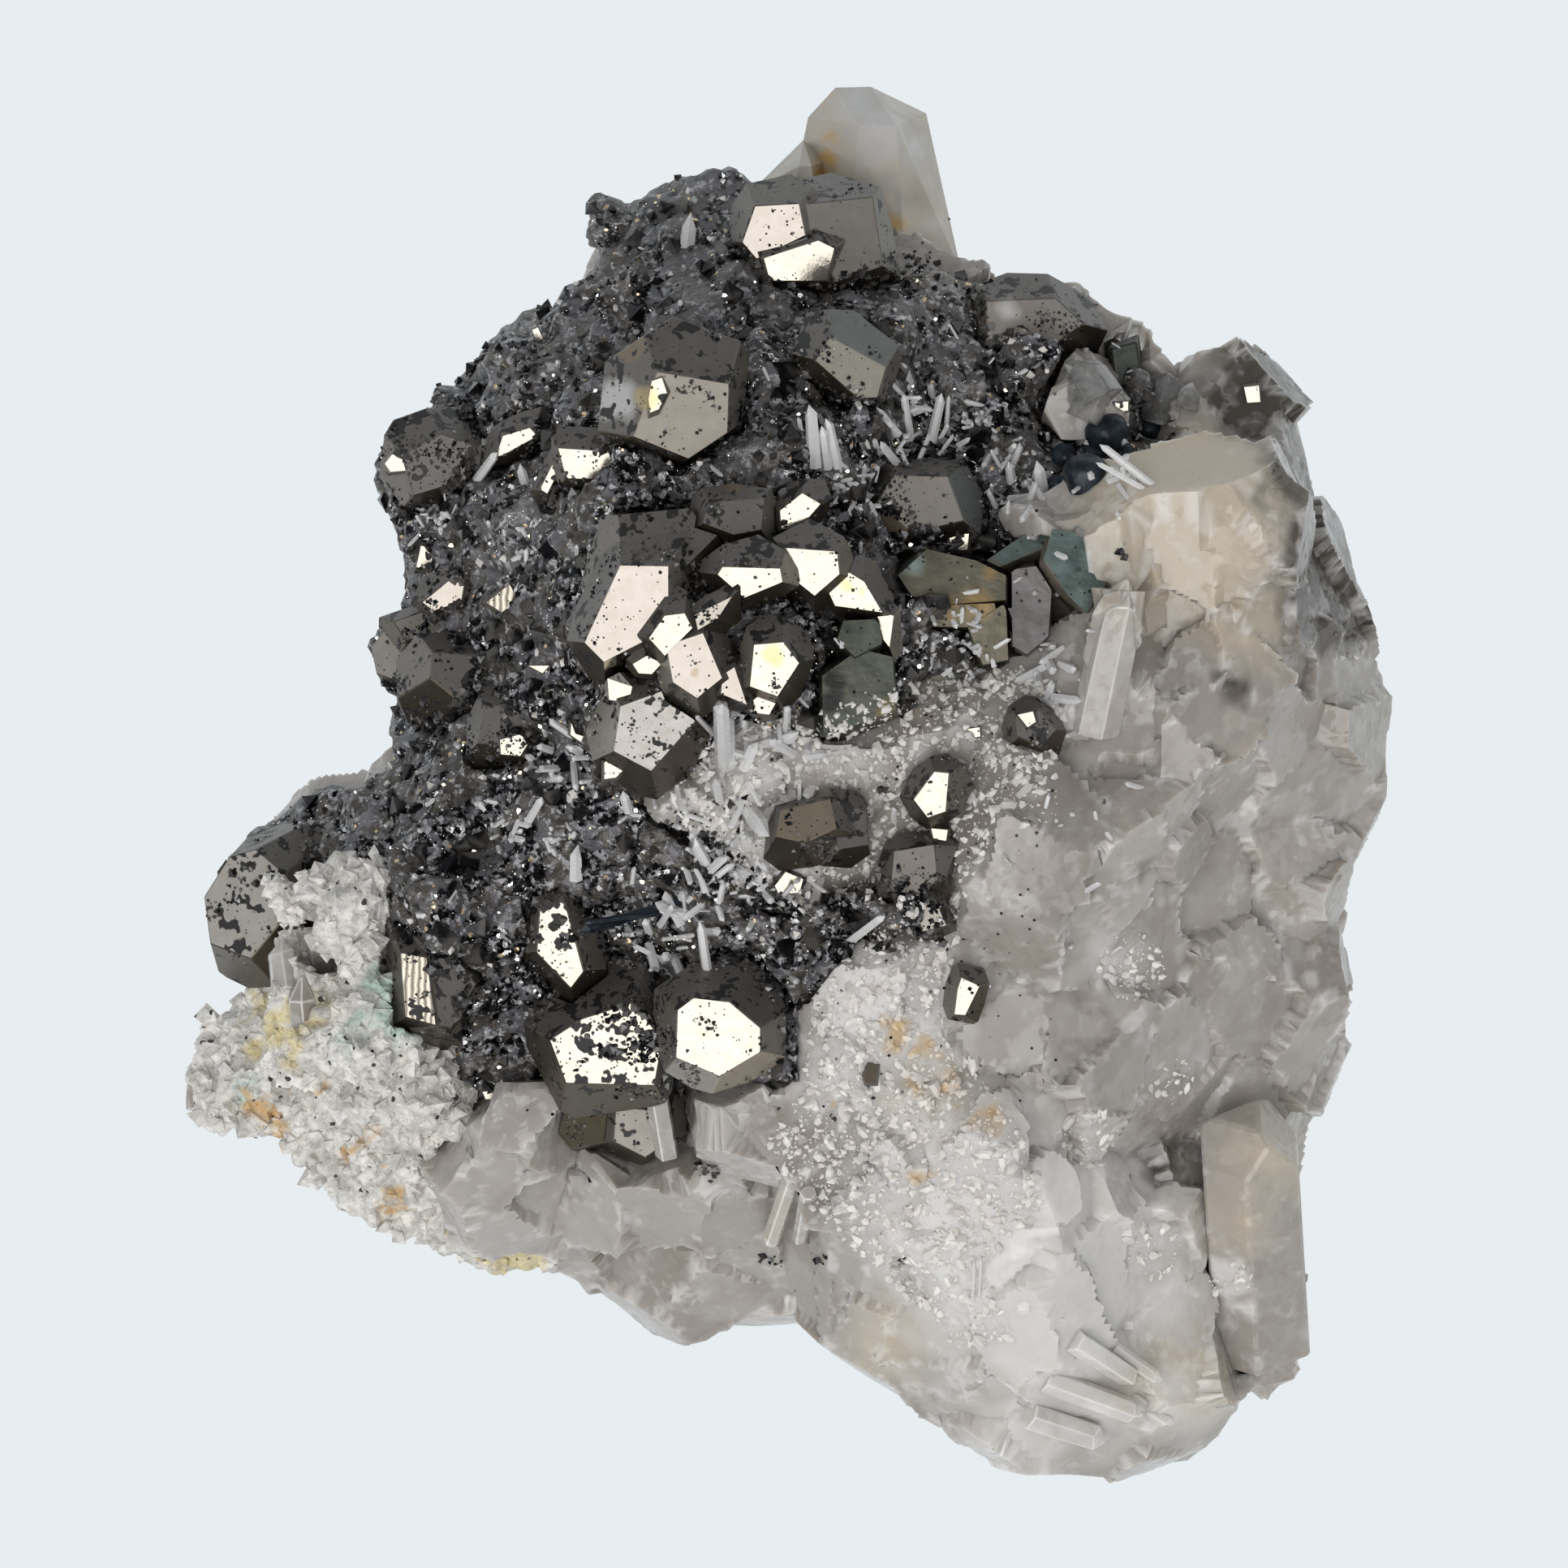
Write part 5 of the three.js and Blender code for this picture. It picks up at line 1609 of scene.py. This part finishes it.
def growDruse(heap, u, v, rng):
    place, normal = bareGround(u, v)
    if place is None:
        return
    axis = spunAxis(normal, rng, *druse["tilt"])
    least, more = druse["radius"]
    radius = (least + more * rng.random() ** 4) * mm
    length = radius * rng.uniform(*druse["slender"])
    finish = (rng.uniform(0.2, 1.0), 0, 0, 1)
    foot = place - axis * length * druse["sunk"]
    growCrystal(heap, foot, axis, radius, length, rng, finish=finish)


def makeDruse():
    rng = random.Random(31)
    heap = newHeap()
    grown = 0
    while grown < druse["count"]:
        u, v = inRange(druse, rng)
        if insideOutline(u, v, druse["outline"]):
            growDruse(heap, u, v, rng)
            grown += 1
    for (u, v), reach, count in druse["clumps"]:
        for _ in range(count):
            growDruse(heap, *around(u, v, reach * math.sqrt(rng.random()), rng), rng)
    addPiece("quartzDruse", meshOfHeap(heap), materials["sugar"])


# Small pyrites, by the corners of their bright face, its lean and its finish; the under finish
# and the side finish of their flanks are painted shade
pyriteRise = 0.5
pyriteRings = ((1.0, 0.0), (1.35, 0.6), (1.2, 2.0))
smallPyrites = [
    ([(707, 892), (712, 905), (735, 912), (722, 917), (706, 906)], (0, -0.12), "bright"),
    ([(748, 940), (756, 934), (774, 946), (762, 958), (748, 960)], (0, -0.12), "pitted"),
    ([(1145, 1020), (1165, 1022), (1163, 1035), (1148, 1033)], (0, -0.12), "bright"),
    ([(1063, 1320), (1068, 1305), (1080, 1310), (1078, 1330), (1066, 1330)], (0, 0.1), "under"),
    ([(968, 1073), (989, 1082), (985, 1098), (962, 1105), (955, 1090)], (0, -0.12), "bright"),
    ([(1250, 882), (1268, 878), (1272, 890), (1262, 897)], (0, -0.12), "bright"),
    ([(1190, 899), (1204, 897), (1205, 908), (1194, 910)], (0, -0.12), "bright"),
    ([(602, 744), (630, 722), (641, 740), (627, 760)], (0.1, -0.1), "striped"),
    ([(475, 572), (488, 556), (512, 558), (506, 580), (482, 582)], (0, -0.12), "pitted"),
    ([(512, 698), (520, 660), (534, 655), (530, 700)], (0, -0.12), "pitted"),
    ([(655, 822), (680, 822), (672, 831)], (0, -0.12), "bright"),
    ([(1088, 342), (1122, 341), (1120, 356), (1090, 356)], (0, -0.12), "pitted"),
    ([(1372, 498), (1388, 497), (1388, 508), (1374, 509)], (0, -0.12), "pitted"),
    ([(1532, 478), (1550, 476), (1552, 496), (1536, 497)], (0, -0.12), "bright"),
    ([(596, 1344), (620, 1342), (618, 1352), (600, 1353)], (0, -0.12), "pitted"),
    ([(1165, 656), (1192, 658), (1190, 680), (1172, 680)], (0, -0.12), "pitted"),
    ([(655, 405), (662, 402), (668, 416), (660, 420)], (0, -0.12), "bright"),
    (
        [(806, 478), (818, 474), (824, 492), (814, 512), (804, 516), (802, 500)],
        (0, -0.14),
        "pitted",
    ),
]


# A face with two rings of sides below it. Rings are given as growth, and depth against the
# reach of the face.
def growPyriteFace(heap, corners, lean, finish):
    flat = [Vector((*atPhoto(u, v), 0)) for u, v in corners]
    middle = sum(flat, Vector()) / len(flat)
    ground, _ = dropOnto(surface, *toPhoto(middle))
    turn = sum(flat[i - 1].cross(flat[i]).z for i in range(len(flat)))
    if turn < 0:
        flat.reverse()
    height = ground.z + pyriteRise * mm
    reach = sum((corner - middle).length for corner in flat) / len(flat)
    count = len(flat)
    verts = []
    for grow, drop in pyriteRings:
        for away in [corner - middle for corner in flat]:
            level = height - (away.x * lean[0] + away.y * lean[1]) - drop * reach
            verts.append(Vector((middle.x + away.x * grow, middle.y + away.y * grow, level)))
    sides = []
    for level in (0, count):
        for i in range(count):
            a, b = level + i, level + (i + 1) % count
            sides.append((a, a + count, b + count, b))
    # The sides take the side finish, a painted shade
    addToHeap(heap, verts, [range(count)] + sides, "side")
    heap["finish"][-1 - len(sides)] = finish


def addPyriteLayers(mesh, names):
    colours = mesh.color_attributes.new("finish", "FLOAT_COLOR", "CORNER")
    wears = mesh.color_attributes.new("wear", "FLOAT_COLOR", "CORNER")
    for polygon, name in zip(mesh.polygons, names):
        for i in polygon.loop_indices:
            colours.data[i].color, wears.data[i].color = layersOf(name)


def makeSmallPyrites():
    heap = newHeap()
    for corners, lean, finish in smallPyrites:
        growPyriteFace(heap, corners, lean, finish)
    mesh = bpy.data.meshes.new("smallPyrites")
    mesh.from_pydata(heap["verts"], [], heap["faces"])
    mesh.update()
    addPyriteLayers(mesh, heap["finish"])
    addPiece("smallPyrites", mesh, materials["pyrite"])


# Blue-black balls: place and radius in millimetres
balls = [
    ((1362, 535), 1.5), ((1335, 590), 1.6), ((1415, 527), 1.1), ((1310, 565), 0.9),
    ((1382, 560), 0.8), ((1345, 560), 0.9), ((1300, 600), 0.7),
]
ballShape = {"bulge": 0.16, "ripples": 0.9}


def makeBalls():
    bm = bmesh.new()
    for (u, v), radius in balls:
        place, _ = dropOnto(surface, u, v)
        made = bmesh.ops.create_icosphere(bm, subdivisions=3, radius=radius * mm)
        for vertex in made["verts"]:
            ripple = noise.noise(vertex.co / mm * ballShape["ripples"] + Vector((u, v, 0)))
            vertex.co = place + vertex.co * (1 + ballShape["bulge"] * ripple)
    mesh = meshOfBmesh(bm, "blueBlackBalls")
    addPiece("blueBlackBalls", mesh, materials["blueBlack"], smooth=True)


# Grains of the crust, each a lump with its own tone, and the sparkling bits among them.
# Their crowds are given as size and level.
grains = {
    "onCrust": {"count": 7600, "sizes": (0.12, 0.5), "tones": (0, 1), "crowds": (2.5, 0.0)},
    "lumps": {"count": 900, "sizes": (0.45, 1.15), "tones": (0, 0.7), "crowds": (4.0, 0.0)},
    "bits": {"count": 520, "sizes": (0.15, 0.45), "tones": (0, 1), "crowds": (2.5, -0.15)},
    "sparkles": {
        "count": 3800, "sizes": (0.05, 0.13), "tones": (0.3, 1), "crowds": (2.5, -0.15),
    },
    "plates": {
        "count": 8000, "sizes": (0.028, 0.2), "golden": 0.25, "crowds": (1.6, 0.05),
        "lean": (-0.08, -0.16, 1), "tilt": (0, 16), "over": 0.1,
    },
    "onPyrite": {
        "inSquareMillimetre": 18, "sizes": (0.05, 0.18), "shiny": 0.9,
        "nextToCrust": 1.1, "nearCrust": 2.2, "larger": 2.2,
        "shinyCrowds": (1.2, 0.45), "nextCrowds": (1.5, -0.25),
        "nearCrowds": (1.8, 0.1), "otherCrowds": (1.8, 0.3),
    },
    "stray": {"count": 900, "sizes": (0.05, 0.2), "across": (450, 1300), "down": (260, 1380)},
    "heapSizes": (0.1, 0.35),
    "heaps": [  # place, least and most distance in pixels, how many
        ((758, 1270), 14, 34, 90), ((803, 1285), 0, 26, 70), ((790, 1235), 0, 22, 50),
        ((700, 1150), 0, 20, 25), ((870, 1440), 0, 16, 25), ((950, 1552), 0, 16, 12),
        ((1010, 1552), 0, 10, 8), ((300, 1085), 0, 26, 30), ((345, 1085), 0, 14, 16),
        ((1150, 1150), 0, 14, 12), ((835, 700), 0, 26, 20), ((905, 995), 0, 30, 40),
        ((840, 1005), 0, 25, 26), ((1010, 1045), 0, 30, 40), ((960, 925), 0, 16, 16),
        ((930, 880), 0, 14, 12), ((1090, 975), 0, 8, 6), ((1090, 1080), 0, 22, 26),
        ((1040, 1140), 0, 40, 70), ((880, 1060), 0, 32, 90), ((905, 1082), 0, 32, 110),
        ((938, 1102), 0, 30, 110), ((970, 1116), 0, 30, 100), ((1004, 1124), 0, 28, 90),
        ((865, 1035), 0, 30, 70), ((1080, 1165), 0, 20, 20), ((1130, 335), 0, 30, 40),
        ((1025, 1370), 0, 6, 5), ((1112, 1550), 0, 8, 8), ((1378, 682), 0, 10, 6),
    ],
}


def growOnCrust(heap, look, rng):
    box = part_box("dark_sulfide_crust")
    for _ in range(look["count"]):
        place, _, _, _ = castInBox(crustOnly, box, rng)
        if place is not None and crowded(place, *look["crowds"]):
            finish = (rng.uniform(*look["tones"]), 0, 0, 1)
            growGrain(heap, place, rng.uniform(*look["sizes"]) * mm, rng, finish)


def boxOf(mesh):
    places = [vertex.co for vertex in mesh.vertices]
    return [Vector([pick(place[i] for place in places) for i in range(3)]) for pick in (min, max)]


# Grains on the pyrites: few on shiny faces, most where a crystal comes out of the crust
def growOnPyrites(heap, rng):
    look = grains["onPyrite"]
    least, more = look["sizes"]
    for mesh in pyriteMeshes:
        box = boxOf(mesh)
        area = (box[1].x - box[0].x) * (box[1].y - box[0].y) / mm / mm
        for _ in range(int(area * look["inSquareMillimetre"])):
            place, _, face, _ = castInBox(pyritesOnly, box, rng)
            if place is None:
                continue
            away = crustOnly.find_nearest(place)[3] / mm
            size = (least + more * rng.random() ** 2) * mm
            crowds = look["nearCrowds"] if away < look["nearCrust"] else look["otherCrowds"]
            if pyriteShine[face] > look["shiny"]:
                crowds = look["shinyCrowds"]
            elif away < look["nextToCrust"]:
                crowds = look["nextCrowds"]
                size *= look["larger"]
            if crowded(place, *crowds):
                growGrain(heap, place, size, rng, (rng.random(), 0, 0, 1))


def growGrainAt(heap, u, v, rng, sizeOf):
    place, _ = dropOnto(surface, u, v)
    if place is not None:
        size = sizeOf() * mm
        growGrain(heap, place, size, rng, (rng.random(), 0, 0, 1))


def makeGrains():
    rng = random.Random(8)
    heap = newHeap()
    growOnCrust(heap, grains["onCrust"], rng)
    growOnCrust(heap, grains["lumps"], rng)
    growOnPyrites(heap, rng)
    smallest, more = grains["heapSizes"]
    for (u, v), least, most, count in grains["heaps"]:
        for _ in range(count):
            place = around(u, v, rng.uniform(least, most), rng)
            growGrainAt(heap, *place, rng, lambda: smallest + more * rng.random() ** 2)
    stray = grains["stray"]
    for _ in range(stray["count"]):
        place = inRange(stray, rng)
        growGrainAt(heap, *place, rng, lambda: rng.uniform(*stray["sizes"]))
    addPiece("sulfideGrains", meshOfHeap(heap), materials["grain"])


def growPlates(heap, look, rng):
    lean = Vector(look["lean"]).normalized()
    least, more = look["sizes"]
    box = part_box("dark_sulfide_crust")
    for _ in range(look["count"]):
        place, _, _, _ = castInBox(crustOnly, box, rng)
        size = (least + more * rng.random() ** 9) * mm
        axis = spunAxis(lean, rng, *look["tilt"])
        finish = (rng.uniform(0.5, 1), float(rng.random() < look["golden"]), 0, 1)
        if place is not None and crowded(place, *look["crowds"]):
            place = place + Vector((0, 0, size + look["over"] * mm))
            growPlate(heap, place, axis, size, rng, finish)


def makeSparkles():
    rng = random.Random(9)
    heap = newHeap()
    growOnCrust(heap, grains["sparkles"], rng)
    growPlates(heap, grains["plates"], rng)
    addPiece("sparkles", meshOfHeap(heap), materials["sparkle"])


def makeQuartzBits():
    rng = random.Random(10)
    heap = newHeap()
    growOnCrust(heap, grains["bits"], rng)
    addPiece("quartzBits", meshOfHeap(heap), materials["sugar"])


def makeRockGrains():
    rng = random.Random(21)
    heap = newHeap()
    least, more = alteredRock["grainSizes"]
    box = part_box("altered_rock")
    for _ in range(alteredRock["grains"]):
        place, _, _, _ = castInBox(rockOnly, box, rng)
        if place is not None:
            growGrain(heap, place, (least + more * rng.random() ** 3) * mm, rng)
    addPiece("rockGrains", meshOfHeap(heap), materials["rock"])


makeQuartzCrystals()
makeGems()
makeNeedles()
makeDarkNeedle()
makeDruse()
makeSmallPyrites()
makeBalls()
makeGrains()
makeSparkles()
makeQuartzBits()
makeRockGrains()
print("small crystals and grains: done")


# A plain pale floor that glows as evenly as a lit paper
floorLook = {"side": 3.0, "colour": (0, 0, 0), "glow": (0.80, 0.847, 0.871)}


def makeFloor():
    half = floorLook["side"] / 2
    mesh = bpy.data.meshes.new("floor")
    corners = [(-half, -half, 0), (half, -half, 0), (half, half, 0), (-half, half, 0)]
    mesh.from_pydata(corners, [], [(0, 1, 2, 3)])
    floor = bpy.data.objects.new("floor", mesh)
    material, tree, shader = newMaterial("paleFloor", Roughness=1.0, Specular_IOR_Level=0)
    feed(tree, shader, Base_Color=floorLook["colour"], Emission_Color=floorLook["glow"])
    feed(tree, shader, Emission_Strength=1.0)
    mesh.materials.append(material)
    scene.collection.objects.link(floor)


makeFloor()
